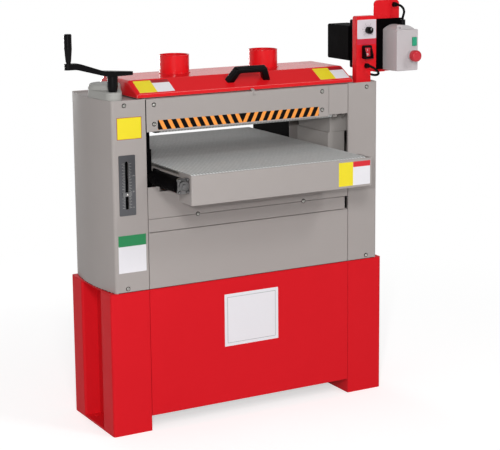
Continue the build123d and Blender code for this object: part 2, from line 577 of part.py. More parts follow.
def gear_motor():
    """Round gear motor on the table's left side, bored for the drive roller, with a foot on the side plate."""
    end, r = -165, 24
    body = rod("Y", (GEAR_X, GEAR_FRONT, ROLLER_Z), end - GEAR_FRONT - 14, r)
    body += fillet(rod("Y", (GEAR_X, end - 16, ROLLER_Z), 16, r - 3).edges().group_by(Axis.Y)[-1], 4)
    ring = rod("Y", (GEAR_X, 0, ROLLER_Z), 3, r + 1) - rod("Y", (GEAR_X, 0, ROLLER_Z), 3, r - 1.5)
    for i in range(5):
        body -= Pos(0, GEAR_FRONT + 100 + 9 * i, 0) * ring
    foot_half = 12
    body += block(GEAR_X, -SIDE_OUT, APRON_BACK + 5, APRON_BACK + 50, ROLLER_Z - foot_half, ROLLER_Z + foot_half)
    return body - rod("X", (GEAR_X, FRONT_ROLLER_Y, ROLLER_Z), 40, JOURNAL_R + RUNNING)


def gear_reducer():
    """Metal end casting of the gear motor, fixed to the apron's side, with a bearing cap and bolt heads."""
    front, left, half, inset = GEAR_FRONT - 14, GEAR_X - 14, 25, 6
    plate = frame_of(left, -APRON_X, ROLLER_Z - half, ROLLER_Z + half)
    body = along_y(fillet(plate.vertices().group_by(Axis.X)[0], 7), front, GEAR_FRONT)
    cap = rod("Y", (GEAR_X + 4, front - 3, ROLLER_Z), 3, 11)
    body += fillet(cap.edges().group_by(Axis.Y)[0], 1)
    for x in (left + inset, -APRON_X - inset):
        for z in (inset - half, half - inset):
            body += rod("Y", (x, front - 4, ROLLER_Z + z), 4, 3.5)
    return body


def build_table():
    save("table_bed", table_bed())
    centres = ((FRONT_ROLLER_Y, ROLLER_Z), (REAR_ROLLER_Y, ROLLER_Z))
    loop = hull(*[(y, z, ROLLER_R + TABLE_BELT) for y, z in centres])
    loop -= hull(*[(y, z, ROLLER_R) for y, z in centres])
    save("conveyor_belt", along_x(loop, -TABLE_BELT_X, TABLE_BELT_X))
    right = [side_plate(), takeup_block()]
    save("table_side_plates", *right, *[mirrored(piece) for piece in right])
    save("table_apron", table_apron())
    save("gear_motor", gear_motor())
    save("gear_reducer", gear_reducer())
    face = (-312, 312, 0, ROLLER_R - GAP)
    save("drive_roller", turned([face, (GEAR_X + 2, SIDE_OUT - 1, 0, JOURNAL_R)], FRONT_ROLLER_Y, ROLLER_Z))
    save("idler_roller", turned([face, (-SIDE_OUT - 9, SIDE_OUT + 9, 0, JOURNAL_R)], REAR_ROLLER_Y, ROLLER_Z))


# Dust hood
HOOD_SLOPE = ((HOOD_TOP - HOOD_LIP), (HOOD_FOLD - HOOD_FRONT))


def hood_form(inset, low):
    """Solid inside the hood's outer faces, all faces moved in by an inset, down to a level."""
    section = outline((HOOD_FRONT, low), (HOOD_FRONT, HOOD_LIP), (HOOD_FOLD, HOOD_TOP),
                      (HOOD_REAR_FOLD, HOOD_TOP), (HOOD_REAR, HOOD_REAR_LIP), (HOOD_REAR, low))
    if inset:
        section = offset(section, -inset, kind=Kind.INTERSECTION)
    body = along_x(section, HOOD_LEFT + inset, HOOD_RIGHT - inset)
    ends = body.edges().filter_by_position(Axis.Z, low + 10, HOOD_TOP)
    ends = ends.filter_by(lambda edge: abs(edge.tangent_at(0.5).X) < 0.01)
    return fillet(ends, 8 - inset)


def dust_hood():
    """Folded hood, open below, with two round extraction ports."""
    hood = hood_form(0, HOOD_LOW)
    for side in (-1, 1):
        hood += rod("Z", (side * PORT_X, PORT_Y, HOOD_TOP - 1), PORT_TOP - HOOD_TOP + 1, PORT_R)
        hood += rod("Z", (side * PORT_X, PORT_Y, HOOD_TOP - 1), 3, PORT_R + 4)
    hood -= hood_form(SHEET, HOOD_LOW - 40)
    for side in (-1, 1):
        hood -= rod("Z", (side * PORT_X, PORT_Y, HOOD_LIP), PORT_TOP - HOOD_LIP, PORT_R - SHEET)
    return hood


def hood_handle():
    """Moulded bridge handle that stands square on the hood's front slope."""
    rise, run = HOOD_SLOPE
    length = (rise**2 + run**2) ** 0.5
    middle_x, share, half = 19, 0.5, 12
    foot = (middle_x, HOOD_FRONT + run * share, HOOD_LIP + rise * share)
    plane = Plane(origin=foot, x_dir=(1, 0, 0), z_dir=(0, -run / length, -rise / length))
    arch = outline((-80, 0), (-56, 48), (56, 48), (80, 0)) - outline((-54, -1), (-40, 32), (40, 32), (54, -1))
    arch = fillet(arch.vertices().filter_by_position(Axis.Y, 3, 50), 8)
    bar = extrude(plane * arch, half, both=True)
    faces = bar.faces().sort_by(Axis(foot, plane.z_dir))
    rims = faces[0].edges() + faces[-1].edges()
    return fillet(rims.filter_by(lambda edge: plane.to_local_coords(edge.center()).Y > 1), 5)


def hinge(x):
    """One hinge: its fixed bracket with the pin, and its moving leaf."""
    leaf_half, pin_r = 30, 3
    eye = Pos(HINGE_Y, HINGE_Z) * Circle(HINGE_R)
    arm = outline((HEAD_Y, 1035), (HEAD_Y + 3, 1035), (HEAD_Y + 3, 1062), (HINGE_Y, HINGE_Z - HINGE_R),
                  (HINGE_Y, HINGE_Z + HINGE_R), (HEAD_Y, 1070))
    fixed = along_x(eye + arm, x - leaf_half, x) + rod("X", (x - leaf_half, HINGE_Y, HINGE_Z), 2 * leaf_half, pin_r)
    tail = outline((HOOD_REAR, HOOD_LOW + 1), (HOOD_REAR, HOOD_REAR_LIP), (HOOD_REAR + 3, HOOD_REAR_LIP),
                   (HINGE_Y + 4, HINGE_Z + 3), (HINGE_Y - 5, HINGE_Z - 1))
    leaf = along_x(eye + tail, x + 0.5, x + leaf_half)
    return fixed, leaf - rod("X", (x, HINGE_Y, HINGE_Z), leaf_half + 1, pin_r + RUNNING)


def build_hood():
    hinges = [hinge(-HINGE_X), hinge(HINGE_X)]
    hood = dust_hood()
    for fixed, leaf in hinges:
        hood += leaf
    save("dust_hood", hood)
    save("hood_hinges", *[fixed for fixed, leaf in hinges])
    save("hood_handle", hood_handle())


# Controls on the right column
def control_column():
    """Hollow sheet column, open at its back, cut narrower at its foot."""
    seat = HEAD_TOP - TOP_SINK
    front = outline((POST_LEFT, seat), (POST_RIGHT - 22, seat), (POST_RIGHT - 22, 1109), (POST_RIGHT, 1109),
                    (POST_RIGHT, CONTROL_TOP), (POST_LEFT, CONTROL_TOP))
    front = fillet(front.vertices().group_by(Axis.Y)[-1], 8)
    column = along_y(front, POST_FRONT, POST_BACK)
    column -= along_y(offset(front, -SHEET), POST_FRONT + SHEET, POST_BACK)
    return column - rod("Y", (KNOB_X, POST_FRONT - 1, KNOB_Z), 4, 3 + GAP)


def bracket_plate():
    """Plate beside the column that carries the switch box, with rounded corners and a lower lip."""
    low, thick, lip = 1106, 3, 14
    front = fillet(frame_of(POST_RIGHT, BRACKET_X, low, BRACKET_TOP).vertices().group_by(Axis.Y)[-1], 16)
    plate = along_y(front, BRACKET_Y, BRACKET_Y + thick)
    return plate + block(POST_RIGHT, BOX_LEFT, BRACKET_Y - lip, BRACKET_Y, low, low + thick)


def controller_box():
    """Speed controller behind the column: a box with rounded edges."""
    box = block(415, 500, CONTROLLER_FRONT, CONTROLLER_BACK, CONTROLLER_LOW, CONTROLLER_HIGH)
    return fillet(box.edges().filter_by(Axis.Y), 6)


def back_plates():
    """Mounting plates behind the column and behind the switch box."""
    plate = block(POST_LEFT + 3, POST_RIGHT - 3, POST_BACK, CONTROLLER_FRONT, 1122, PLATE_HIGH)
    behind_box = block(POST_RIGHT + 2, BOX_RIGHT - 4, BRACKET_Y - 3, BRACKET_Y, BOX_LOW + 1, PLATE_HIGH)
    return fillet(plate.edges().filter_by(Axis.Y), 6), behind_box


def switch_box():
    """Switch box with an arched top, and the pocket for the gland on it."""
    lines = Polyline((BOX_RIGHT, BOX_HIGH), (BOX_RIGHT, BOX_LOW), (BOX_LEFT, BOX_LOW), (BOX_LEFT, BOX_HIGH))
    arch = ThreePointArc((BOX_LEFT, BOX_HIGH), ((BOX_LEFT + BOX_RIGHT) / 2, BOX_HIGH + 16), (BOX_RIGHT, BOX_HIGH))
    front = make_face([arch.edge()] + list(lines.edges()))
    body = along_y(front, BOX_FRONT, BRACKET_Y - 3)
    return body - rod("Z", (*BOX_GLAND, 1250), 40, GLAND_R)


def switch_cover():
    """Front cover with a rounded edge, a button pocket, the stop button's collar and a lock tab."""
    front = fillet(frame_of(BOX_LEFT, BOX_RIGHT, BOX_LOW, BOX_HIGH + 2).vertices(), 4)
    cover = along_y(front, COVER_FRONT, BOX_FRONT)
    cover = fillet(cover.faces().sort_by(Axis.Y)[0].edges(), 2.5)
    cover += rod("Y", (STOP_X, COVER_FRONT - 12, STOP_Z), 13, 16)
    cover -= rod("Y", (STOP_X, COVER_FRONT - 12, STOP_Z), 26, 9 + GAP)
    pocket = frame_of(START_X - 9, START_X + 9, START_Z - 15, START_Z + 15)
    cover -= along_y(pocket, COVER_FRONT, COVER_FRONT + 14)
    tab = Pos(BOX_LEFT + 16, BOX_HIGH + 8) * (Rectangle(22, 20) - Circle(4))
    return cover + along_y(tab, COVER_FRONT + 8, COVER_FRONT + 11)


def start_button():
    """Push button with a slightly raised, rounded face."""
    cap = block(START_X - 8.5, START_X + 8.5, COVER_FRONT - 5, COVER_FRONT + 9, START_Z - 14.5, START_Z + 14.5)
    return fillet(cap.faces().sort_by(Axis.Y)[0].edges(), 2)


def stop_button():
    """Mushroom head on its stem."""
    head = rod("Y", (STOP_X, COVER_FRONT - 40, STOP_Z), 21, 19.5)
    head = fillet(head.edges().group_by(Axis.Y)[0], 9)
    return head + rod("Y", (STOP_X, COVER_FRONT - 20, STOP_Z), 28, 9)


def speed_knob():
    """Round knob with a raised pointer rib."""
    base = POST_FRONT - 2
    knob = fillet(rod("Y", (KNOB_X, base - 15, KNOB_Z), 15, 12).edges().group_by(Axis.Y)[0], 2)
    knob += block(KNOB_X - 2.5, KNOB_X + 2.5, base - 18, base - 10, KNOB_Z - 4, KNOB_Z + 11)
    return knob + rod("Y", (KNOB_X, base - 1, KNOB_Z), 9, 3)


def rocker_bezel():
    """Guard frame round the rocker."""
    frame = fillet(frame_of(ROCKER_X - 17, ROCKER_X + 17, ROCKER_Z - 23, ROCKER_Z + 23).vertices(), 6)
    frame -= frame_of(ROCKER_X - 11.5, ROCKER_X + 11.5, ROCKER_Z - 16.5, ROCKER_Z + 16.5)
    return along_y(frame, POST_FRONT - 10, POST_FRONT)


def rocker():
    """Rocker with a hollow face, tipping about a line along X."""
    face = outline((2, -14), (2, 14), (-5, 14.5), (-3, 0), (-5, -14.5))
    return Pos(0, POST_FRONT - 5, ROCKER_Z) * along_x(face, ROCKER_X - 11, ROCKER_X + 11)


# Leads and their glands
GLAND_R, GLAND_LONG = 9, 16
BOX_GLAND = (590, -160)
PLATE_GLAND = (578, 1330)
COLUMN_GLAND = (457, 1130)
CONTROLLER_GLAND = (478, -60)


def gland(length):
    """Cable gland standing along +Z: hexagon nut and domed cap."""
    nut = extrude(RegularPolygon(GLAND_R, 6), length * 0.4)
    return nut + fillet(rod("Z", (0, 0, length * 0.4), length * 0.6, GLAND_R - 2).edges().group_by(Axis.Z)[-1], 2)


def glands():
    """Glands on the bracket plate, the column, the switch box and under the controller."""
    forward = Rot(90, 0, 0) * gland(GLAND_LONG)
    on_plate = Pos(PLATE_GLAND[0], BRACKET_Y, PLATE_GLAND[1]) * forward
    on_column = Pos(COLUMN_GLAND[0], POST_FRONT, COLUMN_GLAND[1]) * forward
    on_box = Pos(*BOX_GLAND, 1250) * rod("Z", (0, 0, 0), 30, GLAND_R)
    below = Pos(*CONTROLLER_GLAND, 1145) * Rot(180, 0, 0) * gland(GLAND_LONG)
    return on_plate, on_column, on_box, below


def lead(name, points):
    """A lead along hand-chosen points, each corner as round as its two runs allow."""
    spots = [Vector(*point) for point in points]
    runs = [b - a for a, b in zip(spots, spots[1:])]
    radii = []
    for before, after in zip(runs, runs[1:]):
        half_turn = radians(before.get_angle(after) / 2)
        radii.append(0.45 * min(before.length, after.length) * cos(half_turn) / sin(half_turn))
    print(name, "radii", [round(radius, 1) for radius in radii])
    path = FilletPolyline(*points, radius=radii)
    start = Plane(origin=path @ 0, z_dir=path % 0)
    return sweep(start * Circle(LEAD_R), path=path)


def build_controls():
    save("control_column", control_column())
    save("bracket_plate", bracket_plate())
    save("controller_box", controller_box())
    save("control_back_plates", *back_plates())
    save("speed_knob", speed_knob())
    save("rocker_bezel", rocker_bezel())
    save("rocker", rocker())
    save("switch_box", switch_box())
    save("switch_cover", switch_cover())
    save("start_button", start_button())
    save("stop_button", stop_button())
    save("cable_glands", *glands())
    front = BRACKET_Y - GLAND_LONG
    over = [(PLATE_GLAND[0], front, 1330), (578, front - 9, 1330), (583, front - 19, 1327),
            (589, front - 25, 1318), (592, front - 26, 1306), (591, front - 22, 1295), (590, -160, 1288),
            (*BOX_GLAND, 1280)]
    front = POST_FRONT - GLAND_LONG
    below = [(457, front, 1130), (457, front - 9, 1130), (466, front - 15, 1125), (482, front - 12, 1114),
             (499, front + 2, 1103), (507, front + 22, 1095), (507, front + 44, 1092), (499, front + 66, 1096),
             (488, front + 82, 1106), (480, -61, 1117), (478, -60, 1121), (*CONTROLLER_GLAND, 1129)]
    save("control_leads", lead("switch lead", over), lead("column lead", below))


build_stand()
build_drive()
build_head()
build_lift()
build_table()
build_hood()
build_controls()
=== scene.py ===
# %% [markdown]
# # A calibrating sander, dressed for the studio
#
# The construction of this machine is already solved elsewhere: every sheet, roller and screw has its size
# and its place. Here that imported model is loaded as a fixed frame, and the script gives it what a
# construction model lacks: painted steel that shines like paint, rubber that looks like rubber, plates,
# screws and stripes, a camera and a photo studio. The scene is in metres, and the sizes of small pieces are
# written in millimetres; +X is the operator's right, +Y the back and +Z up.

# %% Load the frame
import math

import bmesh
import bpy
from mathutils import Matrix, Vector


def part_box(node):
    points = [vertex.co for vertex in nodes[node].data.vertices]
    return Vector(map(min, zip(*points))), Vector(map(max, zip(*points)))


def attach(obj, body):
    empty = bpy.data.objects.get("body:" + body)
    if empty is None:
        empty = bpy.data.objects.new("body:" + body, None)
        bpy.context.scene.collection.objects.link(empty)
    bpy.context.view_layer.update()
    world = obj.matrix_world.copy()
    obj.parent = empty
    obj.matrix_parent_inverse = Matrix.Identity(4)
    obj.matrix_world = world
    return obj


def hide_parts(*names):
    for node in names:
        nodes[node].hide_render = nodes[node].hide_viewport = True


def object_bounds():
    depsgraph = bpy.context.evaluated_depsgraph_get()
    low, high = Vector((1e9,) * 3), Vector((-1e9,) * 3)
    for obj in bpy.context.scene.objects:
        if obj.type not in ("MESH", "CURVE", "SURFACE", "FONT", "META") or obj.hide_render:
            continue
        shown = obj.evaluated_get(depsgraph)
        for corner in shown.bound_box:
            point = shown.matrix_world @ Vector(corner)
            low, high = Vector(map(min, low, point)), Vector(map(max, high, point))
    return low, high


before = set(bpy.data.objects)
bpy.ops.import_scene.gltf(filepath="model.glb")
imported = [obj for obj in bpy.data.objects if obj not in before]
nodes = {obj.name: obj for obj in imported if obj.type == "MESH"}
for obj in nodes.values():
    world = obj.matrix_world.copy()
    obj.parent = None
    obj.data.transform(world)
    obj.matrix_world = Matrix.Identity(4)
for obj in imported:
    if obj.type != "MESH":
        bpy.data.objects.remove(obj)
cad_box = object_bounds()
scene = bpy.context.scene

# %% [markdown]
# ## The camera
# The photograph was taken with a long lens from the left of the machine's front, a little above the hood.
# A camera is easiest to place by three turns: first the whole head to the side (yaw), then down (pitch),
# then a small roll about the line of sight. A small lens shift slides the picture in its frame, as the
# rising front of a studio camera does, and keeps the tall edges of the machine nearly upright.

# %% Camera
EYE = (-2.3254, -4.331, 1.6645)
YAW, PITCH, ROLL = 29.075, 10.235, -0.509  # degrees
LENS_MM, RISE = 107.503, -0.1  # RISE is a share of the picture's width


def turned(degrees, axis):
    """A turn of that many degrees about one of the main axes."""
    return Matrix.Rotation(math.radians(degrees), 4, axis)


camera = bpy.data.objects.new("studio_camera", bpy.data.cameras.new("studio_camera"))
camera.data.lens = LENS_MM
camera.data.shift_y = RISE
aim = turned(-YAW, "Z") @ turned(90 - PITCH, "X") @ turned(ROLL, "Z")
camera.matrix_world = Matrix.Translation(EYE) @ aim
scene.collection.objects.link(camera)
scene.camera = camera
machine_middle = (cad_box[0] + cad_box[1]) / 2
print("camera", round((Vector(EYE) - machine_middle).length, 2), "m from the machine's middle")

# %% [markdown]
# ## Small helpers
# `linear` turns a colour picked as an sRGB hex value, the way paint colours are usually written, into the
# linear numbers that the shaders work with. `grow` adds one node to a material with its settings, values and
# links, `blank` begins a material and `done` ends it. `keep` turns a finished bmesh into an object that sits
# at the origin and rides on its body. `paint` gives a finish to pieces that the frame already has.

# %% Colours and nodes
MM = 0.001


def linear(hex_colour):
    """The linear colour of an sRGB hex value such as "#c81e28"."""
    parts = [int(hex_colour[i:i + 2], 16) / 255 for i in (1, 3, 5)]
    return (*[p / 12.92 if p <= 0.04045 else ((p + 0.055) / 1.055) ** 2.4 for p in parts], 1.0)


def grow(material, kind, values=None, links=None, **settings):
    """Adds a node of that kind; values and links are keyed by the input's name or number, and a link that
    names a node takes its first output."""
    made = material.node_tree.nodes.new("ShaderNode" + kind)
    for name, setting in settings.items():
        setattr(made, name, setting)
    for key, value in (values or {}).items():
        made.inputs[key].default_value = value
    for key, source in (links or {}).items():
        output = source.outputs[0] if isinstance(source, bpy.types.Node) else source
        material.node_tree.links.new(output, made.inputs[key])
    return made


def blank(name):
    """A new material with no nodes but the object's own coordinates, in metres."""
    material = bpy.data.materials.new(name)
    material.use_nodes = True
    material.node_tree.nodes.clear()
    place = grow(material, "TexCoord").outputs["Object"]
    return material, place


def done(material, surface):
    """Joins a finished shader to the material's output."""
    grow(material, "OutputMaterial", links={"Surface": surface})
    return material


print("the hex value of middle grey is", round(linear("#808080")[0], 3), "in linear light")

# %% Pieces and paint
def as_object(mesh, name, materials):
    """Makes a bmesh an object at the origin, with its materials."""
    data = bpy.data.meshes.new(name)
    mesh.to_mesh(data)
    mesh.free()
    for material in materials:
        data.materials.append(material)
    made = bpy.data.objects.new(name, data)
    scene.collection.objects.link(made)
    return made


def keep(mesh, name, materials, body, stands_for=(), smooth_below=None):
    """Makes a bmesh a painted piece that rides on its body; faces that meet at less than smooth_below
    degrees are shaded as one."""
    piece = as_object(mesh, name, materials)
    if smooth_below:
        piece.data.shade_smooth()
        piece.data.set_sharp_from_angle(angle=math.radians(smooth_below))
    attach(piece, body)
    if stands_for:
        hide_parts(*stands_for)
    return piece


def paint(material, *names):
    """Gives a finish to nodes of the frame whose shape stays."""
    for name in names:
        nodes[name].data.materials.clear()
        nodes[name].data.materials.append(material)
    print(material.name, "on", ", ".join(names))


print("helpers ready for", len(nodes), "nodes")

# %% [markdown]
# ## The studio
# The photograph is a catalogue picture: white paper under and behind the machine, lamps beside the camera,
# and only a faint shadow. The world is plain white where the camera looks at it and dimmer where it lights
# the machine, so that the background stays white without more light on the paint; that dim light is a
# little stronger from the front than from behind. Reflections see what a studio has: the white paper behind
# the machine, and a dim room in front of it and overhead. That is why the flat hood top turns pale while
# its front slope stays red.

# %% World
AMBIENT_FRONT, AMBIENT_REAR, ROOM = 0.42, 0.26, 0.1
PAPER_FROM, PAPER_FULL = 0.3, 0.7  # how far a reflection points backwards to see the paper
world = bpy.data.worlds.new("white_studio")
world.use_nodes = True
world.node_tree.nodes.clear()
direction = grow(world, "TexCoord").outputs["Generated"]
backwards = grow(world, "SeparateXYZ", links={0: direction}).outputs["Y"]
paper_behind = grow(world, "MapRange", {"From Min": PAPER_FROM, "From Max": PAPER_FULL, "To Min": ROOM},
                    {"Value": backwards})
ambient = grow(world, "MapRange", {"From Min": -1.0, "To Min": AMBIENT_FRONT, "To Max": AMBIENT_REAR},
               {"Value": backwards})
rays = grow(world, "LightPath").outputs
lit = grow(world, "Mix", links={0: rays["Is Glossy Ray"], 2: ambient, 3: paper_behind}, data_type="FLOAT")
direct = grow(world, "Math", links={0: rays["Is Camera Ray"], 1: rays["Is Transmission Ray"]},
              operation="MAXIMUM")
level = grow(world, "Mix", {3: 1.0}, {0: direct, 2: lit}, data_type="FLOAT")
glow = grow(world, "Background", {"Color": (1, 1, 1, 1)}, {"Strength": level})
grow(world, "OutputWorld", links={"Surface": glow})
scene.world = world
print("ambient light", AMBIENT_FRONT, "in front and", AMBIENT_REAR, "behind")

# %% [markdown]
# ## The paper floor
# One large pale floor does for the paper. It takes the machine's shadow; for the camera it is lifted by as
# much as the lamps leave it short of white, and further out it fades into the white of the world, so that
# no horizon shows. Only rays that look at the floor see this, so it throws no extra light on the machine.

# %% Floor
FLOOR_HALF, FLOOR_LIFT = 30, 0.56  # half the floor's side in metres, and its glow for the camera
SHADOW_REACH, WHITE_REACH = 0.9, 2.4  # metres from the machine's middle


def watched(owner):
    """1 for rays that come from the camera, a reflection or glass, and 0 for rays that light something."""
    seen = grow(owner, "LightPath").outputs
    either = grow(owner, "Math", links={0: seen["Is Camera Ray"], 1: seen["Is Glossy Ray"]},
                  operation="MAXIMUM")
    return grow(owner, "Math", links={0: either, 1: seen["Is Transmission Ray"]}, operation="MAXIMUM")


paper, place = blank("white_paper_sweep")
looked_at = watched(paper)
matt = grow(paper, "BsdfDiffuse", {"Color": linear("#d2d2d2")})
lift = grow(paper, "MapRange", {"To Max": FLOOR_LIFT}, {"Value": looked_at})
lift_glow = grow(paper, "Emission", links={"Strength": lift})
lifted = grow(paper, "AddShader", links={0: matt, 1: lift_glow})
away = grow(paper, "VectorMath", links={0: place}, operation="LENGTH")
fade = grow(paper, "MapRange", {"From Min": SHADOW_REACH, "From Max": WHITE_REACH},
            {"Value": away.outputs["Value"]}, interpolation_type="SMOOTHSTEP")
share = grow(paper, "Math", links={0: fade, 1: looked_at}, operation="MULTIPLY")
white_glow = grow(paper, "Emission", {"Strength": 1.0})
sweep = grow(paper, "MixShader", links={0: share, 1: lifted, 2: white_glow})
sheet = bmesh.new()
bmesh.ops.create_grid(sheet, x_segments=1, y_segments=1, size=FLOOR_HALF)
studio_floor = as_object(sheet, "studio_floor", [done(paper, sweep)])
print("floor of", 2 * FLOOR_HALF, "m, white from", WHITE_REACH, "m on")

# %% [markdown]
# ## Soft boxes and a flash
# A lamp's place can be read from shadows: the head's lower edge throws its shade a quarter of a metre back
# over the belt, and the left column throws a dark wedge onto the belt that runs 27 degrees to the right. So
# the main light stands over the camera, to the left of the front and only some 24 degrees up: a soft box of
# nearly a metre, which keeps those edges soft. Another one high at the right lights the hood's front fold,
# whose bright line is also painted into the hood's enamel as a painted highlight, and makes the shade beside
# its handle. A small flash close to the camera, a little higher and further left, opens the shade, so that a
# thin dark line is left under the table. A wide box behind, no higher than the machine, gives its rear enough
# light and only skims the belt.

# %% Lamps
MACHINE, INFEED = (0, 0, 0.7), (0, 0, 0.9)  # what the lamps face


def soft_box(name, spot, target, size, watts):
    """A square area lamp that faces a point."""
    lamp = bpy.data.lights.new(name, "AREA")
    lamp.size, lamp.energy = size, watts
    box = bpy.data.objects.new(name, lamp)
    facing = (Vector(spot) - Vector(target)).to_track_quat("Z", "Y").to_matrix().to_4x4()
    box.matrix_world = Matrix.Translation(spot) @ facing
    scene.collection.objects.link(box)


soft_box("key_box", (-2.3, -4.6, 3.0), MACHINE, 0.9, 95)
soft_box("right_box", (2.2, -4.0, 4.2), INFEED, 1.0, 55)
soft_box("flash_box", (-2.56, -4.2, 1.86), MACHINE, 0.12, 59)
soft_box("rear_box", (0, 5.4, 1.3), MACHINE, 1.4, 120)
scene.view_settings.view_transform = "Standard"
print("studio with", len(bpy.data.lights), "lamps")

# %% [markdown]
# ## Sprayed enamel
# The stand, the hood and the columns are folded steel sheet with a sprayed and baked enamel. Three things
# tell the eye that it is paint: a very fine waviness called orange peel, which breaks up reflections, a
# clear gloss on top, and a slow drift of tone over a large panel. The peel is a noise bump with cells of a
# few millimetres; real peel is nearer one millimetre, but that would be too fine to show in the picture.
# Sheet is folded over a radius and paint runs thick on an edge, so edges are never sharp: a Bevel node rounds
# the shading there by two or three millimetres, and each fold catches a thin line of light. Along the hood's
# front fold a paler colour is painted in as a painted highlight, a bright line that stands for light caught
# by the fold; the same Bevel node finds that fold, because there its normal leans away from the face. One
# function makes all the paints, because they differ only in colour and gloss.

# %% Enamel maker
DRIFT, SMEAR, STRAY = 450 * MM, 60 * MM, 0.15  # tone drifts over DRIFT, and gloss by STRAY over SMEAR
# The painted highlight along the hood's front fold is kept below this height.
HIGHLIGHT_TOP, HIGHLIGHT_FADE = 1.115, 5 * MM  # the hood's front fold lies below this height, its ports above
BENT_FROM, BENT_FULL = 0.985, 0.85  # cosines between a face and the softened fold


def rubbed_fold(material, place, fold):
    """The mask of a painted highlight: 1 along the folds below the highlight's top height, and 0 on flat
    sheet.
    """
    flat = grow(material, "NewGeometry").outputs["True Normal"]
    bend = grow(material, "VectorMath", links={0: fold, 1: flat}, operation="DOT_PRODUCT")
    thin = grow(material, "MapRange", {"From Min": BENT_FROM, "From Max": BENT_FULL},
                {"Value": bend.outputs["Value"]})
    height = grow(material, "SeparateXYZ", links={0: place}).outputs["Z"]
    below = grow(material, "MapRange", {"From Min": HIGHLIGHT_TOP + HIGHLIGHT_FADE, "From Max": HIGHLIGHT_TOP},
                 {"Value": height})
    return grow(material, "Math", links={0: thin, 1: below}, operation="MULTIPLY")


def enamel(name, light, dark, roughness, shine, peel_mm=3.0, peel_depth=0.05, edge_mm=2.0, fold_highlight=None):
    """Sprayed paint: two tones that drift over half a metre, orange peel, soft edges and a gloss, and, if a
    colour is given, a painted highlight along the hood's front fold.
    """
    material, place = blank(name)
    drift = grow(material, "TexNoise", {"Scale": 1 / DRIFT, "Detail": 3.0}, {"Vector": place})
    tone = grow(material, "Mix", {6: linear(dark), 7: linear(light)}, {0: drift}, data_type="RGBA")
    smear = grow(material, "TexNoise", {"Scale": 1 / SMEAR, "Detail": 4.0}, {"Vector": place})
    span = {"To Min": roughness * (1 - STRAY), "To Max": roughness * (1 + STRAY)}
    rough = grow(material, "MapRange", span, {"Value": smear})
    peel = grow(material, "TexNoise", {"Scale": 1 / (peel_mm * MM), "Detail": 1.0}, {"Vector": place})
    fold = grow(material, "Bevel", {"Radius": edge_mm * MM}, samples=6)
    if fold_highlight:
        highlight_mask = rubbed_fold(material, place, fold)
        tone = grow(material, "Mix", {7: linear(fold_highlight)}, {0: highlight_mask, 6: tone.outputs[2]}, data_type="RGBA")
    wave = grow(material, "Bump", {"Strength": 0.35, "Distance": peel_depth * MM},
                {"Height": peel, "Normal": fold})
    shader = grow(material, "BsdfPrincipled", {"Specular IOR Level": shine},
                  {"Base Color": tone.outputs[2], "Roughness": rough, "Normal": wave})
    return done(material, shader)


print("enamel drifts in tone over", DRIFT / MM, "mm")

# %% Enamel paints
# The hood's pale fold colour is a painted highlight, a bright line of light painted into the enamel.
hood_enamel = enamel("red_gloss_enamel", "#e61a21", "#de161e", 0.24, 0.22, edge_mm=3.0, fold_highlight="#f59b97")
control_enamel = enamel("red_semi_gloss_enamel", "#e21a23", "#da161f", 0.28, 0.16)
stand_enamel = enamel("red_satin_enamel", "#dc1c26", "#d31822", 0.5, 0.08)
grey_enamel = enamel("warm_grey_satin_enamel", "#aba4a1", "#a59e9b", 0.5, 0.15)
frame_enamel = enamel("grey_primer_enamel", "#a19c99", "#98938f", 0.55, 0.15)
black_enamel = enamel("black_enamel", "#0d0b0d", "#080708", 0.34, 0.1)
matt_black = enamel("matt_black_powder_coat", "#070607", "#040304", 0.7, 0.02, peel_mm=2.0)
casting_grey = enamel("grey_hammered_casting_paint", "#aaa9a5", "#a09f9b", 0.5, 0.15, peel_mm=4.0,
                      peel_depth=0.12, edge_mm=3.0)
paint(hood_enamel, "dust_hood")
paint(control_enamel, "control_column", "bracket_plate")
paint(stand_enamel, "base_left_leg", "base_right_leg", "base_front_panel", "base_rear_panel", "base_deck")
paint(grey_enamel, "left_column_cover", "right_column_cover", "upper_front_panels", "middle_panel",
      "lower_panel", "rear_panel", "table_apron", "table_side_plates")
paint(casting_grey, "crank_housing")
paint(frame_enamel, "right_post", "motor_shelf", "hood_hinges")
paint(black_enamel, "crank_arm")
# The left post is black as painted shade, for the shade that the left column casts onto it; the other parts
# here are black in their own right.
paint(matt_black, "left_post", "lift_brackets", "gear_motor", "controller_box", "control_back_plates")

# %% [markdown]
# ## Bare metals
# Shafts, rollers and lead screws are turned steel: the tool leaves rings round the axis, so the shine is
# drawn out into fine bands. A noise that is squeezed along the axis and stretched round it gives such rings
# without knowing the axis exactly; here every long shaft lies along X or stands along Z, so one steel for
# each is enough. Rolled sheet has only a faint grain, and metal that was cast or etched has no direction at
# all, so there the noise is squeezed alike on all three axes. The motor and the bearings are cast iron, which
# is darker and rougher, with its sand texture under a thin paint.

# %% Metals
RING = 1 / (1.5 * MM)  # rings 1.5 mm apart, as a density per metre


def bare_metal(name, light, dark, roughness, squeeze, bump_mm):
    """Metal with tool marks; squeeze gives the pattern's density per metre along X, Y and Z."""
    material, place = blank(name)
    along = grow(material, "Mapping", {"Scale": squeeze}, {"Vector": place})
    marks = grow(material, "TexNoise", {"Scale": 1.0, "Detail": 4.0, "Roughness": 0.6}, {"Vector": along})
    tone = grow(material, "Mix", {6: linear(dark), 7: linear(light)}, {0: marks}, data_type="RGBA")
    rough = grow(material, "MapRange", {"To Min": roughness * 0.7, "To Max": roughness * 1.3},
                 {"Value": marks})
    cut = grow(material, "Bump", {"Strength": 0.4, "Distance": bump_mm * MM}, {"Height": marks})
    shader = grow(material, "BsdfPrincipled", {"Metallic": 1.0},
                  {"Base Color": tone.outputs[2], "Roughness": rough, "Normal": cut})
    return done(material, shader)


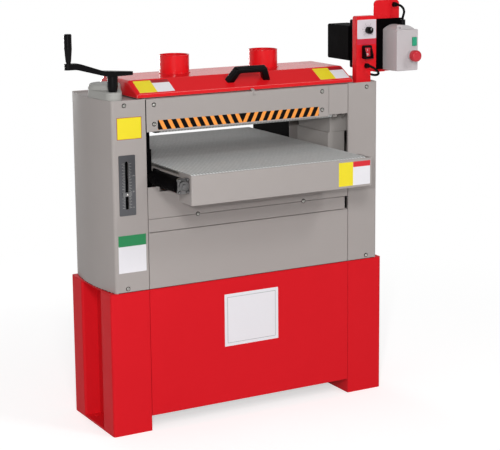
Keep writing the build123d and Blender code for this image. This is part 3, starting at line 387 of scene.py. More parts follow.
shaft_steel = bare_metal("turned_shaft_steel", "#c9c8c6", "#9d9c9b", 0.32, (RING, 20, 20), 0.03)
screw_steel = bare_metal("rolled_thread_steel", "#b9b8b5", "#858482", 0.38, (40, 40, RING), 0.05)
plate_steel = bare_metal("zinc_plated_sheet", "#c2c1bd", "#a5a4a1", 0.42, (60, 15, 15), 0.02)
iron = enamel("sand_cast_iron_paint", "#4b5157", "#3f4449", 0.6, 0.0, peel_mm=2.0, peel_depth=0.3)
paint(shaft_steel, "motor_rotor", "drive_roller", "idler_roller", "drum_front", "drum_rear")
paint(screw_steel, "lead_screw_front_left", "lead_screw_front_right", "lead_screw_rear_left",
      "lead_screw_rear_right", "lift_chain")
paint(plate_steel, "table_bed")
paint(iron, "main_motor", "drum_bearings")

# %% [markdown]
# ## Rubber, belt and abrasive
# The conveyor belt has a grey rubber cover with rows of small studs, which grip the wood. On the real belt
# they are some 3 mm apart; here it is 11 and 17 mm, as coarse as they must be to show. One wave texture
# across the belt draws ribs, another one along it cuts them into studs, and noise makes them uneven and
# dusty. The V-belts and leads are plain black rubber. The abrasive is cloth with a brown grit: a fine noise
# gives the grains, and a slanted dark line shows where the strip is wound round the drum.

# %% Conveyor belt
RIB, STUD, DUST = 11.0 * MM, 17.0 * MM, 12 * MM
WAVE = math.tau / 20  # a wave texture of scale 1 repeats after this many metres
UNEVEN = {"Distortion": 0.6, "Detail": 1.0, "Detail Scale": 40.0}
belt_cover, place = blank("ribbed_grey_rubber_belt")
ribs, cuts = [grow(belt_cover, "TexWave", {"Scale": WAVE / gap, **UNEVEN}, {"Vector": place},
                   bands_direction=way) for gap, way in ((RIB, "X"), (STUD, "Y"))]
studs = grow(belt_cover, "Mix", {0: 0.4}, {2: ribs.outputs[1], 3: cuts.outputs[1]}, data_type="FLOAT")
dust = grow(belt_cover, "TexNoise", {"Scale": 1 / DUST, "Detail": 5.0}, {"Vector": place})
grain = grow(belt_cover, "Mix", {0: 0.25}, {2: studs, 3: dust}, data_type="FLOAT")
cover = grow(belt_cover, "Mix", {6: linear("#6c6d6c"), 7: linear("#e9eae9")}, {0: grain}, data_type="RGBA")
relief = grow(belt_cover, "Bump", {"Strength": 0.5, "Distance": 0.4 * MM}, {"Height": studs})
rubber = grow(belt_cover, "BsdfPrincipled", {"Roughness": 0.85, "Specular IOR Level": 0.3},
              {"Base Color": cover.outputs[2], "Normal": relief})
paint(done(belt_cover, rubber), "conveyor_belt", "infeed_roller", "outfeed_roller")

# %% Black rubber and abrasive
black_rubber = enamel("black_rubber", "#1b1b1c", "#121213", 0.75, 0.0, peel_mm=1.5, peel_depth=0.1)
paint(black_rubber, "drive_belts", "control_leads")
GRIT, WINDING, SEAM_SHARE = 1.6 * MM, 90 * MM, 0.04
abrasive, place = blank("brown_abrasive_cloth")
grains = grow(abrasive, "TexVoronoi", {"Scale": 1 / GRIT}, {"Vector": place})
winding = grow(abrasive, "TexWave", {"Scale": WAVE / WINDING}, {"Vector": place}, bands_direction="DIAGONAL")
seam = grow(abrasive, "MapRange", {"From Max": SEAM_SHARE}, {"Value": winding.outputs[1]})
grit = grow(abrasive, "Mix", {6: linear("#5a3220"), 7: linear("#9a6242")}, {0: grains}, data_type="RGBA")
wound = grow(abrasive, "Mix", {6: linear("#2c1b14")}, {0: seam, 7: grit.outputs[2]}, data_type="RGBA")
relief = grow(abrasive, "Bump", {"Strength": 0.7, "Distance": 0.3 * MM}, {"Height": grains})
cloth = grow(abrasive, "BsdfPrincipled", {"Roughness": 0.95},
             {"Base Color": wound.outputs[2], "Normal": relief})
paint(done(abrasive, cloth), "abrasive_wrap_front", "abrasive_wrap_rear")

# %% [markdown]
# ## Moulded plastics
# Knob, grip, glands and switch case are moulded plastic. Moulds are spark-eroded, which leaves a fine even
# grain on the part; buttons are polished instead. So each plastic is a colour with a fine bump, and the
# buttons have a lower roughness.

# %% Plastics
def moulded(name, light, dark, roughness, grain_mm, depth_mm, shine=0.3):
    """Plastic with the fine grain of its mould."""
    material, place = blank(name)
    grain = grow(material, "TexNoise", {"Scale": 1 / (grain_mm * MM), "Detail": 2.0}, {"Vector": place})
    tone = grow(material, "Mix", {6: linear(dark), 7: linear(light)}, {0: grain}, data_type="RGBA")
    skin = grow(material, "Bump", {"Strength": 0.3, "Distance": depth_mm * MM}, {"Height": grain})
    shader = grow(material, "BsdfPrincipled",
                  {"Roughness": roughness, "IOR": 1.49, "Specular IOR Level": shine},
                  {"Base Color": tone.outputs[2], "Normal": skin})
    return done(material, shader)


black_plastic = moulded("black_phenolic_plastic", "#0c0a0c", "#060506", 0.32, 1.2, 0.05, shine=0.12)
case_grey = moulded("light_grey_abs", "#c4c0c1", "#bab6b7", 0.4, 1.2, 0.04)
cover_white = moulded("pale_grey_abs", "#c8c1c3", "#c1babc", 0.45, 1.2, 0.04, shine=0.2)
button_green = moulded("green_polycarbonate", "#2fa982", "#279a74", 0.25, 2.0, 0.02)
button_red = moulded("red_polycarbonate", "#d0343f", "#c02b36", 0.28, 2.0, 0.02)
paint(black_plastic, "crank_grip", "hood_handle", "speed_knob", "rocker_bezel", "cable_glands")
paint(case_grey, "switch_box")
paint(cover_white, "switch_cover")
paint(button_green, "start_button")
paint(button_red, "stop_button", "rocker")

# %% [markdown]
# ## Plates that carry nothing yet
# The machine wears a number of films and plates: a yellow one on the left column, a white one with a green
# head below the scale, two-coloured ones on apron and hood, and a large white one on the stand. They stay
# blank here, so the part can be used for any machine of its kind. A film could be painted into the material
# of the panel below, but a real one has an edge that catches the light, so each is a very thin sheet of its
# own. A sheet is a grid of one face; its four corners are bevelled round and the face is extruded to its
# thickness. Fields of another colour are further sheets on top of the first.

# %% Sheet maker
FILM, FILM_CORNER = 0.25, 1.2  # millimetres
UPRIGHT = turned(90, "X")  # stands a sheet up, with its face to the operator
HERE = Matrix.Identity(4)  # leaves a form where it was drawn


def at_mm(x, y, z):
    """The move to a place given in millimetres."""
    return Matrix.Translation((x * MM, y * MM, z * MM))


def on_front(x, y, z):
    """A place on an upright front, in millimetres."""
    return at_mm(x, y, z) @ UPRIGHT


def facing_out(shape):
    """The same bmesh, with all its normals turned outwards."""
    bmesh.ops.recalc_face_normals(shape, faces=shape.faces)
    return shape


def thicken(flat, step):
    """Extrudes the faces of a flat shape by a step in metres."""
    raised = bmesh.ops.extrude_face_region(flat, geom=flat.faces[:])["geom"]
    bmesh.ops.translate(flat, vec=step, verts=[v for v in raised if isinstance(v, bmesh.types.BMVert)])
    return facing_out(flat)


def ease(shape, sharp, run, segments=2, affect="EDGES"):
    """Bevels the sharp edges, or vertices, by that many millimetres."""
    bmesh.ops.bevel(shape, geom=sharp, offset=run * MM, segments=segments, profile=0.5, affect=affect,
                    material=-1)


def sheet_of(width, height, thick, corner, index=0):
    """A thin sheet on the ground, its middle at the origin and its face upwards, in millimetres."""
    flat = bmesh.new()
    bmesh.ops.create_grid(flat, x_segments=1, y_segments=1, size=0.5)
    bmesh.ops.scale(flat, vec=(width * MM, height * MM, 1), verts=flat.verts)
    ease(flat, flat.verts[:], corner, 4, "VERTICES")
    thicken(flat, (0, 0, thick * MM))
    for face in flat.faces:
        face.material_index = index
    return flat


def gather(*parts):
    """One bmesh out of (bmesh, place) pairs."""
    whole = bmesh.new()
    for part, spot in parts:
        bmesh.ops.transform(part, matrix=spot, verts=part.verts)
        carried = bpy.data.meshes.new("carried")
        part.to_mesh(carried)
        part.free()
        whole.from_mesh(carried)
        bpy.data.meshes.remove(carried)
    return whole


def film_label(name, spot, fields, materials, body):
    """A label of fields (u0, u1, v0, v1, level, material number), in millimetres on its own face."""
    sheets = []
    for u0, u1, v0, v1, layer, index in fields:
        field = sheet_of(u1 - u0, v1 - v0, FILM, FILM_CORNER, index)
        sheets.append((field, spot @ at_mm((u0 + u1) / 2, (v0 + v1) / 2, layer * FILM)))
    piece = keep(gather(*sheets), name, materials, body)
    print(name, [round(side / MM) for side in piece.dimensions])


print("sheets of", FILM, "mm film can be cut")

# %% [markdown]
# ## Films and labels
# Printed film is soft vinyl with a satin skin: a colour with hardly any grain, a little shinier than the
# paint below it. The hood's labels lie on its front slope, so they are tilted by the slope's angle, which
# follows from the slope's rise over its run.

# %% Labels
def vinyl_film(colour, light, dark):
    """Printed film of one colour."""
    return moulded(colour + "_vinyl_film", light, dark, 0.4, 1.5, 0.01)


yellow_film = vinyl_film("yellow", "#f2df2f", "#ecd828")
white_film = vinyl_film("white", "#eceaee", "#e5e3e8")
red_film = vinyl_film("dark_red", "#a9232b", "#9f1e26")
bright_film = vinyl_film("bright_red", "#dc2f3a", "#d32832")
green_film = vinyl_film("green", "#2d8c58", "#288350")
grey_film = vinyl_film("grey", "#b9babd", "#b1b2b5")
COLUMN_FRONT, STAND_FRONT, APRON_FRONT = -158, -159, -374
film_label("column_label", on_front(-431, COLUMN_FRONT, 989.5),
           [(-42, 42, -34.5, 34.5, 0, 0), (-40.5, 40.5, -33, 33, 1, 1)],
           [red_film, yellow_film], "frame")
film_label("lower_column_label", on_front(-429.5, COLUMN_FRONT, 592),
           [(-47.5, 47.5, -60, 60, 0, 0), (-47.5, 47.5, 25, 60, 1, 1)],
           [white_film, green_film], "frame")
film_label("apron_label", on_front(258.5, APRON_FRONT, 815.5),
           [(-59.5, 59.5, -38.5, 38.5, 0, 0), (-59.5, -6, -38.5, 38.5, 1, 1), (-5.5, 59.5, 21, 38.5, 1, 2)],
           [white_film, yellow_film, bright_film], "table")
film_label("stand_plate", on_front(-4, STAND_FRONT, 327),
           [(-101, 101, -88, 88, 0, 0), (-91, 91, -78, 78, 1, 1), (-89, 89, -76, 76, 2, 0)],
           [white_film, grey_film], "frame")
SLOPE_FOOT_Y, SLOPE_FOOT_Z, SLOPE_RISE, SLOPE_RUN = -139, 1089, 38, 69
slope_turn = Matrix.Rotation(math.atan2(SLOPE_RISE, SLOPE_RUN), 4, "X")
on_slope = at_mm(0, SLOPE_FOOT_Y + SLOPE_RUN / 2, SLOPE_FOOT_Z + SLOPE_RISE / 2) @ slope_turn
for side_name, x0, x1, split in (("left", -379, -258, -319), ("right", 281, 395, 341)):
    film_label(f"hood_label_{side_name}", on_slope,
               [(x0, x1, -32, 32, 0, 0), (x0, split, -32, 32, 1, 1), (split + 0.5, x1, 17, 32, 1, 2)],
               [white_film, yellow_film, red_film], "hood")

# %% [markdown]
# ## The striped tape over the infeed
# A strip of orange and black tape warns of the rollers behind it. Its stripes lean towards the middle from
# both sides, so the pattern is mirrored about one upright line. In the material that is one sum: the distance
# from the middle line, less a share of the height, cut into repeats of one stripe pair. The first part of
# each repeat is orange and the rest black. Over the middle the sum is negative, which gives the black
# triangle that points down.

# %% Tape
TAPE_LEFT, TAPE_RIGHT, TAPE_MIDDLE, TAPE_FOOT, TAPE_TALL = -333, 258, -30, 977, 30
STRIPE_PAIR, SLANT, ORANGE_SHARE, STRIPE_BLUR = 30.1, 0.5, 0.45, 0.01
tape, place = blank("hazard_tape_vinyl")
axes = grow(tape, "SeparateXYZ", links={0: place}).outputs
sideways = grow(tape, "Math", {1: TAPE_MIDDLE * MM}, {0: axes["X"]}, operation="SUBTRACT")
outwards = grow(tape, "Math", links={0: sideways}, operation="ABSOLUTE")
height = grow(tape, "Math", {1: TAPE_FOOT * MM}, {0: axes["Z"]}, operation="SUBTRACT")
leaning = grow(tape, "Math", {1: -SLANT}, {0: height, 2: outwards}, operation="MULTIPLY_ADD")
repeats = grow(tape, "Math", {1: STRIPE_PAIR * MM}, {0: leaning}, operation="DIVIDE")
cycle = grow(tape, "Math", links={0: repeats}, operation="FRACT")
stripe = grow(tape, "MapRange",
              {"From Min": ORANGE_SHARE - STRIPE_BLUR, "From Max": ORANGE_SHARE + STRIPE_BLUR},
              {"Value": cycle})
ink = grow(tape, "TexNoise", {"Scale": 1 / (6 * MM), "Detail": 3.0}, {"Vector": place})
orange = grow(tape, "Mix", {6: linear("#f79a45"), 7: linear("#ffa651")}, {0: ink}, data_type="RGBA")
printed = grow(tape, "Mix", {7: linear("#080607")}, {0: stripe, 6: orange.outputs[2]}, data_type="RGBA")
rough = grow(tape, "MapRange", {"To Min": 0.38, "To Max": 0.5}, {"Value": ink})
vinyl = grow(tape, "BsdfPrincipled", {"Specular IOR Level": 0.1},
             {"Base Color": printed.outputs[2], "Roughness": rough})
done(tape, vinyl)
half_wide, half_tall = (TAPE_RIGHT - TAPE_LEFT) / 2, TAPE_TALL / 2
film_label("striped_tape", on_front((TAPE_LEFT + TAPE_RIGHT) / 2, COLUMN_FRONT, TAPE_FOOT + half_tall),
           [(-half_wide, half_wide, -half_tall, half_tall, 0, 0)], [tape], "frame")

# %% [markdown]
# ## Screws with a driving recess
# The panels are held by button-head screws with a hexagon socket, on thin black washers; the black ring
# round each front head is also painted shade, for the dark ring of shade round a screw head. Each head is a
# turned shape, so its half section is drawn once, from the floor of the socket over the rim and the dome to
# the panel, and spun round the axis. The spin has 24 steps, so the socket's wall has 24 points; moving them
# onto a hexagon turns the round hole into a six-sided one. One such screw is made for each place, on the
# front, the rear and the sides of the table, and the screws of one side are one piece. The front ones stand
# for the plain heads of the construction model.

# %% Lathe
SOCKET, MERGE = 2.6, 0.005  # radius of the socket, and the gap that counts as none
HEAD_SECTION = [(0.0, 1.4), (SOCKET, 1.4), (SOCKET, 3.0), (3.4, 3.0), (4.6, 2.5), (5.3, 1.6), (5.5, 0.8),
                (5.5, 0.0)]
SHADE_RING_WASHER_SECTION = [(5.2, 0), (5.2, 0.4), (7.0, 0.4), (7.2, 0.2), (7.2, 0), (5.2, 0)]


def lathe(section, steps=24):
    """A turned shape along Z, from a half section of (radius, height) in millimetres."""
    shape = bmesh.new()
    line = [shape.verts.new((r * MM, 0, z * MM)) for r, z in section]
    edges = [shape.edges.new(pair) for pair in zip(line, line[1:])]
    bmesh.ops.spin(shape, geom=line + edges, axis=(0, 0, 1), cent=(0, 0, 0), angle=math.tau, steps=steps,
                   use_merge=True)
    bmesh.ops.remove_doubles(shape, verts=shape.verts, dist=MERGE * MM)
    return facing_out(shape)


def screw_head():
    """A button head on the ground, with the points of its socket moved onto a hexagon."""
    head = lathe(HEAD_SECTION)
    for vert in head.verts:
        if abs(vert.co.xy.length - SOCKET * MM) < MERGE * MM:
            sixth = math.atan2(vert.co.y, vert.co.x) % math.radians(60) - math.radians(30)
            stretch = math.cos(math.radians(30)) / math.cos(sixth)
            vert.co.xy = vert.co.xy * stretch
    return facing_out(head)


print("screw heads of", 2 * HEAD_SECTION[-1][0], "mm with a socket of", 2 * SOCKET, "mm")

# %% Screws
PANEL_SCREWS = [(-345, 1057), (-345, 996), (271, 1057), (271, 996), (-197, 695), (197, 695),
                (-447, 1061), (-447, 480), (447, 1061), (447, 480)]
REAR_PANEL_SCREWS = [(x, z) for x in (-352, 352) for z in (490, 640, 780, 1020)] + [(0, 490), (0, 1020)]
REAR_STAND_SCREWS = [(x, z) for x in (-340, 0, 340) for z in (70, 430)]
TABLE_SIDE, TABLE_SCREWS = 325, [(side, z) for side in (-1, 1) for z in (838, 819)]
FINE_GRAIN = (900, 900, 900)  # grains of about a millimetre, as densities per metre
zinc_screw = bare_metal("zinc_plated_screw", "#c4c3bf", "#96958f", 0.35, FINE_GRAIN, 0.02)
dark_screw = bare_metal("blackened_screw", "#3a3938", "#262524", 0.4, FINE_GRAIN, 0.02)
spots = [on_front(x, COLUMN_FRONT, z) for x, z in PANEL_SCREWS]
heads = gather(*[(screw_head(), spot) for spot in spots])
keep(heads, "panel_screw_heads", [zinc_screw], "frame", ["panel_screws"], smooth_below=40)
places = [(x, -COLUMN_FRONT, z) for x, z in REAR_PANEL_SCREWS]
places += [(x, -STAND_FRONT, z) for x, z in REAR_STAND_SCREWS]
heads = gather(*[(screw_head(), at_mm(*spot) @ turned(180, "Z") @ UPRIGHT) for spot in places])
keep(heads, "rear_screw_heads", [zinc_screw], "frame", smooth_below=40)
# The black washers also serve as painted shade, a dark ring round each front screw head.
shade_ring_washers = gather(*[(lathe(SHADE_RING_WASHER_SECTION), spot) for spot in spots])
keep(shade_ring_washers, "panel_screw_shade_ring_washers", [black_rubber], "frame", smooth_below=40)
heads = gather(*[(screw_head(), at_mm(side * TABLE_SIDE, -80, z) @ turned(side * 90, "Y"))
                 for side, z in TABLE_SCREWS])
keep(heads, "table_screw_heads", [dark_screw], "table", smooth_below=40)
print(len(PANEL_SCREWS), "panel screws,", len(places), "rear screws and", len(TABLE_SCREWS), "table screws")

# %% [markdown]
# ## The thickness scale
# The scale plate on the left column shows how high the table stands. Its marks are etched through a dark
# film, so they are bright and very flat: short ones each 5 mm, long ones each 10 mm, and figures each 50 mm.
# Figures are Blender text, which becomes a mesh first and is then put in its place, because a pattern or an
# export would otherwise use the text's own place.

# %% Scale
SCALE_FRONT, SCALE_LOW, SCALE_HIGH, SLOT_MIDDLE, SLOT_HALF = -159.5, 740, 880, -443.5, 7
MARK_GAP, LONG_MARK, SHORT_MARK = 5, 9, 5
MARK_WIDE, MARK_THICK, MARK_CORNER, FIGURE_HALF = 0.9, 0.06, 0.2, 0.04


def figures(text, size):
    """Flat figures as a bmesh on the ground, centred on the origin; their size is in millimetres."""
    letters = bpy.data.curves.new("figures", "FONT")
    letters.body, letters.size, letters.align_x, letters.align_y = text, size * MM, "CENTER", "CENTER"
    letters.extrude = FIGURE_HALF * MM
    carrier = bpy.data.objects.new("figures", letters)
    scene.collection.objects.link(carrier)
    outline = bpy.data.meshes.new_from_object(carrier)
    bpy.data.objects.remove(carrier)
    shape = bmesh.new()
    shape.from_mesh(outline)
    bpy.data.meshes.remove(outline)
    return shape


marks = []
for step in range((SCALE_HIGH - SCALE_LOW) // MARK_GAP + 1):
    z = SCALE_LOW + MARK_GAP * step
    long = LONG_MARK if step % 2 == 0 else SHORT_MARK
    for side in (-1, 1):
        mark = sheet_of(long, MARK_WIDE, MARK_THICK, MARK_CORNER)
        marks.append((mark, on_front(SLOT_MIDDLE + side * (SLOT_HALF + long / 2), SCALE_FRONT, z)))
    if step % 10 == 0:
        marks.append((figures(str(MARK_GAP * step), 6), on_front(SLOT_MIDDLE + 22, SCALE_FRONT, z)))
print(len(marks), "marks and figures on the scale")
etched = bare_metal("etched_bright_mark", "#c9c8c4", "#b5b4b0", 0.4, (700, 700, 700), 0.01)
keep(gather(*marks), "scale_marks", [etched], "frame")
dark_plate = bare_metal("dark_etched_scale_plate", "#77777a", "#5c5c60", 0.5, FINE_GRAIN, 0.02)
paint(dark_plate, "scale_plate")

# %% [markdown]
# ## The speed dial
# Behind the knob sits a pale face plate with a ring of marks and figures. The knob turns by 135 degrees each
# way, so the marks run over the same arc, eleven of them, with a figure at every second one. A white line
# inlaid in the knob's front rides on the knob and shows where it points.

# %% Dial
DIAL_X, DIAL_Z, DIAL_FRONT, DIAL_THICK = 458, 1252.5, -139, 1.2
KNOB_X, KNOB_Z, SWEEP, LAST_MARK = 463, 1249, 135, 10
face = sheet_of(75, 64, DIAL_THICK, 3)
dial_white = moulded("anodised_dial_plate", "#dcd2d8", "#d3c9cf", 0.42, 0.9, 0.02)
keep(gather((face, on_front(DIAL_X, DIAL_FRONT, DIAL_Z))), "dial_plate", [dial_white], "frame")
marks = []
for step in range(LAST_MARK + 1):
    turn = SWEEP - 2 * SWEEP * step / LAST_MARK
    spoke = on_front(KNOB_X, DIAL_FRONT - DIAL_THICK, KNOB_Z) @ turned(turn, "Z")
    marks.append((sheet_of(MARK_WIDE, 4, MARK_THICK, MARK_CORNER), spoke @ at_mm(0, 16.5, 0)))
    if step % 2 == 0:
        marks.append((figures(str(step), 5), spoke @ at_mm(0, 22.5, 0) @ turned(-turn, "Z")))
print("dial with", len(marks), "marks and figures")
dial_ink = moulded("black_screen_print", "#1a191b", "#121113", 0.5, 0.8, 0.005)
keep(gather(*marks), "dial_marks", [dial_ink], "frame")
knob_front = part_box("speed_knob")[0].y / MM
line = gather((sheet_of(1.6, 8, 0.1, 0.3), on_front(KNOB_X, knob_front, KNOB_Z + 5)))
keep(line, "knob_line", [white_film], "speed_knob")
print("line on the knob's front at", round(knob_front, 1), "mm")

# %% [markdown]
# ## Guards at the outfeed, liners and seat covers
# Black sheet guards stand beside the belt where the wood leaves the machine. Thin grey liners cover the inner
# sides of the posts, and a bent sheet covers the seat of the front pressure roller on each side, grey on the
# right and black on the left, where the black is painted shade for the shade of the left column. Each sheet
# is drawn as one view, a few vertices made into one face, and that face is extruded by the sheet's thickness;
# a guard's second sheet is the flange that is riveted to the rear panel. The right-hand pieces are drawn and
# the left-hand ones are their mirror images. The guards stand just outside the belt's tension blocks, so the
# table can rise and fall between them.

# %% Plate maker
MIRROR = Matrix.Scale(-1, 4, (1, 0, 0))


def oblong(a0, a1, b0, b1):
    """The four corners of a rectangle, in order."""
    return [(a0, b0), (a1, b0), (a1, b1), (a0, b1)]


def plate_from(corners, step):
    """One face through the corners, thickened by a step; all in millimetres."""
    plate = bmesh.new()
    plate.faces.new([plate.verts.new(Vector(corner) * MM) for corner in corners])
    return thicken(plate, Vector(step) * MM)


def front_plate(y, view, thick):
    """A plate that faces the operator, from its front view of (x, z), thickened to the back."""
    return plate_from([(x, y, z) for x, z in view], (0, thick, 0))


def side_plate(x, view, thick):
    """A plate that faces sideways, from its side view of (y, z), thickened to the right."""
    return plate_from([(x, y, z) for y, z in view], (thick, 0, 0))


print("plates can be cut and mirrored")

# %% Guards and liners
REAR_WALL, FLANGE = -COLUMN_FRONT, 26
GUARD_X, GUARD_THICK, GUARD_LOW, GUARD_HIGH, GUARD_END = 340, 2, 800, 962, 436
GUARD_VIEW = [(REAR_WALL, GUARD_LOW), (REAR_WALL, GUARD_HIGH), (230, GUARD_HIGH), (GUARD_END, 900),
              (GUARD_END, GUARD_LOW)]
LINER_X, LINER_THICK, LINER_VIEW = 330, 0.8, oblong(-98, 98, 790, 906)
SEAT_LEFT, SEAT_RIGHT, SEAT_FRONT, SEAT_REAR, SEAT_LOW, SEAT_HIGH = 336, 406, -100, -40, 909, 967
SEAT_THICK, RETURN_THICK = 2.5, 2


def guard():
    """The right guard: its long blade, with a cut rear corner, and its flange on the rear panel."""
    blade = side_plate(GUARD_X, GUARD_VIEW, GUARD_THICK)
    flange_view = oblong(GUARD_X, GUARD_X + FLANGE, GUARD_LOW, GUARD_HIGH)
    return gather((blade, HERE), (front_plate(REAR_WALL, flange_view, GUARD_THICK), HERE))


def liner():
    """The right liner: a sheet on the inner side of the post, from below the table to the drums."""
    return side_plate(LINER_X, LINER_VIEW, -LINER_THICK)


def seat_cover():
    """The right cover of the roller's seat: a front sheet and its return along the post's side."""
    front = front_plate(SEAT_FRONT, oblong(SEAT_LEFT, SEAT_RIGHT, SEAT_LOW, SEAT_HIGH), -SEAT_THICK)
    ease(front, front.edges[:], 0.8)
    return_view = oblong(SEAT_FRONT, SEAT_REAR, SEAT_LOW, SEAT_HIGH)
    return gather((front, HERE), (side_plate(SEAT_RIGHT - RETURN_THICK, return_view, RETURN_THICK), HERE))


guards = facing_out(gather((guard(), HERE), (guard(), MIRROR)))
liners = facing_out(gather((liner(), HERE), (liner(), MIRROR)))
left_cover = facing_out(gather((seat_cover(), MIRROR)))
keep(seat_cover(), "right_seat_cover", [frame_enamel], "frame")
# The left cover is black as painted shade, for the shade of the left column; the right one has the frame's
# grey.
keep(left_cover, "left_seat_cover_painted_shade", [matt_black], "frame")
keep(guards, "outfeed_guards", [matt_black], "frame")
keep(liners, "post_liners", [frame_enamel], "frame")
print("guards", GUARD_THICK, "mm thick at", GUARD_X, "mm from the middle")

# %% [markdown]
# ## The hood catch
# A small sprung catch in the middle of the upper panel holds the hood shut. It is a bent strip: a foot on the
# panel, and a nose that comes over the hood's front edge. The strip's side view is one face, extruded across
# its width and bevelled.

# %% Catch
CATCH_LEFT, CATCH_WIDE = 8.5, 11
CATCH_VIEW = [(-158, 1063), (-160, 1063), (-160, 1072), (-142, 1083), (-141, 1081), (-158, 1070.5)]
catch = side_plate(CATCH_LEFT, CATCH_VIEW, CATCH_WIDE)
ease(catch, catch.edges[:], 0.4)
keep(catch, "hood_catch", [grey_enamel], "frame", smooth_below=40)
print("catch", CATCH_WIDE, "mm wide")

# %% [markdown]
# ## The gear case of the feed motor
# The feed motor ends in a small die-cast gear case, bolted to the apron's side. A casting like this has a
# plate with round corners, a turned cover with a step and a groove, and a boss under each of its four bolts,
# so that the machine tool has little to mill. The plate is a thick sheet with a bevel, cover and bosses are
# turned sections, and the bolts are smaller screw heads. It stands for the plain casting of the construction
# model.

# %% Gear case
CASE_FRONT, CASE_X, CASE_Z, CASE_THICK, BOLT_SCALE = -350, -346.7, 831, 9, 0.7
COVER_SECTION = [(0, 8.2), (5.5, 8.2), (7, 6.8), (7, 4.6), (11.5, 4.6), (12.5, 6), (15.5, 6), (17, 4.5),
                 (17, 0)]
BOSS_TALL = 3
BOSS_SECTION = [(0, BOSS_TALL), (4.4, BOSS_TALL), (5.2, 2.2), (5.6, 0)]


def in_case(x, z, out):
    """A place on the gear case, in millimetres from its middle and outwards from its rear face."""
    return on_front(CASE_X + x, CASE_FRONT - out, CASE_Z + z)


plate = sheet_of(39.4, 50, CASE_THICK, 7)
rim = [edge for edge in plate.edges if all(vert.co.z > (CASE_THICK - 1) * MM for vert in edge.verts)]
ease(plate, rim, 1.2)
casting = [(plate, in_case(0, 0, 0)), (lathe(COVER_SECTION, 40), in_case(0, 0, CASE_THICK))]
for x, z in [(x, z) for x in (-14, 14) for z in (-19, 19)]:
    casting.append((lathe(BOSS_SECTION, 20), in_case(x, z, CASE_THICK)))
    casting.append((screw_head(), in_case(x, z, CASE_THICK + BOSS_TALL) @ Matrix.Scale(BOLT_SCALE, 4)))
case_metal = bare_metal("grey_die_cast_gear_case", "#8f8e8b", "#56555a", 0.36, (420, 420, 420), 0.08)
keep(gather(*casting), "gear_case", [case_metal], "table", ["gear_reducer"], smooth_below=35)
print("gear case with", len(casting), "forms")

# %% [markdown]
# ## The guarded rocker switch
# Cheeks stand beside the rocker and grow deeper towards its lower end, joined there by a lip, so that a
# sleeve can't switch the machine on. Each cheek is its side view, extruded across. The rocker itself carries
# the usual line and ring for on and off; its two halves lean towards its middle, so each mark is tilted with
# its half. A strip of rose film closes the dial plate at its foot.

# %% Rocker guard
ROCKER_X, ROCKER_Z, BEZEL_FRONT, LEAN = 456.5, 1176, -149, 7.9
MARK_UP, MARK_FRONT, MARK_TALL = 7.3, BEZEL_FRONT + 1, 0.15
CHEEK_WIDE, LIP_DEEP, CHEEK_STARTS = 3.5, 12, (ROCKER_X - 15.7, ROCKER_X + 12.2)
CHEEK_OUTLINE = [(0, 1195), (11, 1173), (13, 1166), (13, 1158), (10, 1154), (0, 1154)]  # (out, height)
lip_view = oblong(ROCKER_X - 15, ROCKER_X + 15, 1154.2, 1158)
cheek_view = [(BEZEL_FRONT - out, z) for out, z in CHEEK_OUTLINE]
parts = [side_plate(x, cheek_view, CHEEK_WIDE) for x in CHEEK_STARTS]
parts.append(front_plate(BEZEL_FRONT, lip_view, -LIP_DEEP))
rocker_guard = gather(*[(part, HERE) for part in parts])
ease(rocker_guard, rocker_guard.edges[:], 0.7)
keep(rocker_guard, "rocker_guard", [black_plastic], "frame", smooth_below=40)
on_half = on_front(ROCKER_X, MARK_FRONT, ROCKER_Z + MARK_UP) @ turned(LEAN, "X")
off_half = on_front(ROCKER_X, MARK_FRONT, ROCKER_Z - MARK_UP) @ turned(-LEAN, "X")
bar = sheet_of(1.3, 7, MARK_TALL, 0.3)
ring = lathe([(2.3, 0), (2.3, MARK_TALL), (3.5, MARK_TALL), (3.5, 0), (2.3, 0)], 28)
keep(gather((bar, on_half), (ring, off_half)), "rocker_marks", [white_film], "rocker")
rose_film = vinyl_film("rose", "#d02a42", "#c7233b")
film_label("dial_foot_film", on_front(DIAL_X, DIAL_FRONT, 1210.5), [(-37.5, 37.5, -9.5, 9.5, 0, 0)],
           [rose_film], "frame")

# %% [markdown]
# ## The dark strip under the head
# Where the head stands on the red deck, a thin black strip of foam rubber lies along the joint as painted
# shade, for the dark line of shade under the head's lower edge. Its side walls follow the bowed columns: an
# upright edge is spun about the centre of the bow, which follows from the bow's width and depth. The mirror
# image gives the other side, two faces close the front and the rear, and the corners are bevelled as round
# as the columns' bends.

# %% Shade strip
BOW_EDGE, BOW_MIDDLE, BOW_HALF = 488, 507, -COLUMN_FRONT
SHADE_STRIP_LOW, SHADE_STRIP_TALL, SHADE_STRIP_OUT = 468, 1.8, 0.35
CORNER_RUN = 7.9  # how far a bend of 10 mm reaches along each wall
bow_deep = BOW_MIDDLE - BOW_EDGE
bow_radius = (BOW_HALF ** 2 + bow_deep ** 2) / (2 * bow_deep)


def bow_wall():
    """The strip along the right column's bowed side, as one row of faces."""
    wall = bmesh.new()
    ends = [wall.verts.new((BOW_EDGE * MM, -BOW_HALF * MM, z * MM)) for z in (SHADE_STRIP_LOW, SHADE_STRIP_LOW + SHADE_STRIP_TALL)]
    upright = wall.edges.new(ends)
    bmesh.ops.spin(wall, geom=ends + [upright], axis=(0, 0, 1), cent=((BOW_MIDDLE - bow_radius) * MM, 0, 0),
                   angle=2 * math.asin(BOW_HALF / bow_radius), steps=20)
    return wall


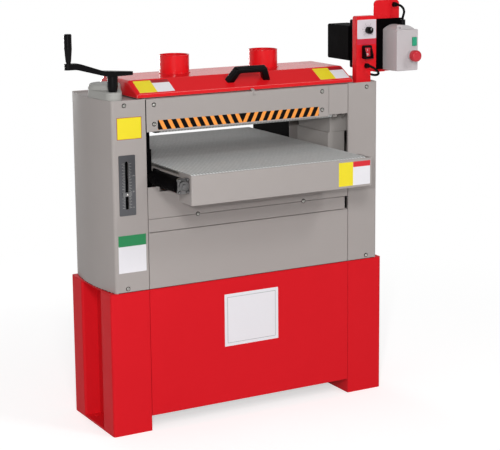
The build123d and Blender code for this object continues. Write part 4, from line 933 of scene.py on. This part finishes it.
joint_shade_strip = facing_out(gather((bow_wall(), HERE), (bow_wall(), MIRROR)))
corners = [edge for edge in joint_shade_strip.edges
           if len(edge.link_faces) == 1 and abs(edge.verts[0].co.z - edge.verts[1].co.z) > MM]
for side in (-1, 1):
    bmesh.ops.contextual_create(joint_shade_strip, geom=[edge for edge in corners if edge.verts[0].co.y * side > 0])
facing_out(joint_shade_strip)
ease(joint_shade_strip, corners, CORNER_RUN, segments=5)
bmesh.ops.solidify(joint_shade_strip, geom=joint_shade_strip.faces[:], thickness=SHADE_STRIP_OUT * MM)
# The black strip is painted shade along the joint under the head.
shade_strip = keep(facing_out(joint_shade_strip), "head_joint_shade_strip", [black_rubber], "frame", smooth_below=30)
print("joint_shade_strip", [round(side / MM, 1) for side in shade_strip.dimensions])

# %% [markdown]
# ## The seam beside the upper panel
# Between the left column and the upper panel the real machine shows a dark, upright seam, where shade falls
# into the gap. A flat black strip lies over it as painted shade, as tall as the panel itself; it is cut like
# a label, of rubber instead of film.

# %% Seam strip
SEAM_X, SEAM_WIDE = -373.5, 3.2
seam_low, seam_high = [corner.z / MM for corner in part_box("upper_front_panels")]
half_tall = (seam_high - seam_low) / 2
# The black strip is painted shade over the gap beside the upper panel.
film_label("seam_shade_strip", on_front(SEAM_X, COLUMN_FRONT, (seam_low + seam_high) / 2),
           [(-SEAM_WIDE / 2, SEAM_WIDE / 2, -half_tall, half_tall, 0, 0)],
           [black_rubber], "frame")

# %% [markdown]
# ## The pointer of the scale
# A black strip on the table's bracket carries a pin through the slot. On the pin's end sits a small plate
# with a domed rivet, which shows the height on the scale. The strip is one extruded face with bevelled edges;
# pin and rivet are turned. Strip and pin stand for those of the construction model. The pin is a little
# thinner, so that it stays clear of the slot's round end when the table is right up.

# %% Pointer
POINTER_Z, STRIP_FRONT, STRIP_HALF, PIN_END = 783, -140, 6, -162
PIN_SECTION = [(0, 0), (3.4, 0), (3.4, 22.6), (3.0, 23), (0, 23)]
RIVET_SECTION = [(0, 3.6), (1.8, 3.4), (3.3, 2.5), (4.2, 1.2), (4.4, 0.5), (4.4, 0)]
strip_view = oblong(SLOT_MIDDLE - STRIP_HALF, SLOT_MIDDLE + STRIP_HALF, 775, 835)
strip = front_plate(STRIP_FRONT, strip_view, 4)
ease(strip, strip.edges[:], 0.6)
pin_spot = on_front(SLOT_MIDDLE, STRIP_FRONT + 1, POINTER_Z)
keep(gather((strip, HERE), (lathe(PIN_SECTION), pin_spot)), "pointer_strip", [black_enamel], "table",
     ["pointer"], smooth_below=40)
tongue_metal = bare_metal("satin_nickel_pointer", "#8e8e8e", "#7c7c7d", 0.4, (600, 600, 600), 0.02)
bright_rivet = bare_metal("polished_rivet", "#d6d5d2", "#c3c2bf", 0.25, (600, 600, 600), 0.01)
tongue = gather((sheet_of(31, 13, 0.8, 3), on_front(SLOT_MIDDLE, PIN_END + 0.6, POINTER_Z)))
keep(tongue, "pointer_plate", [tongue_metal], "table")
rivet = gather((lathe(RIVET_SECTION), on_front(SLOT_MIDDLE, PIN_END, POINTER_Z)))
keep(rivet, "pointer_rivet", [bright_rivet], "table", smooth_below=50)
print("pointer at", POINTER_Z, "mm")
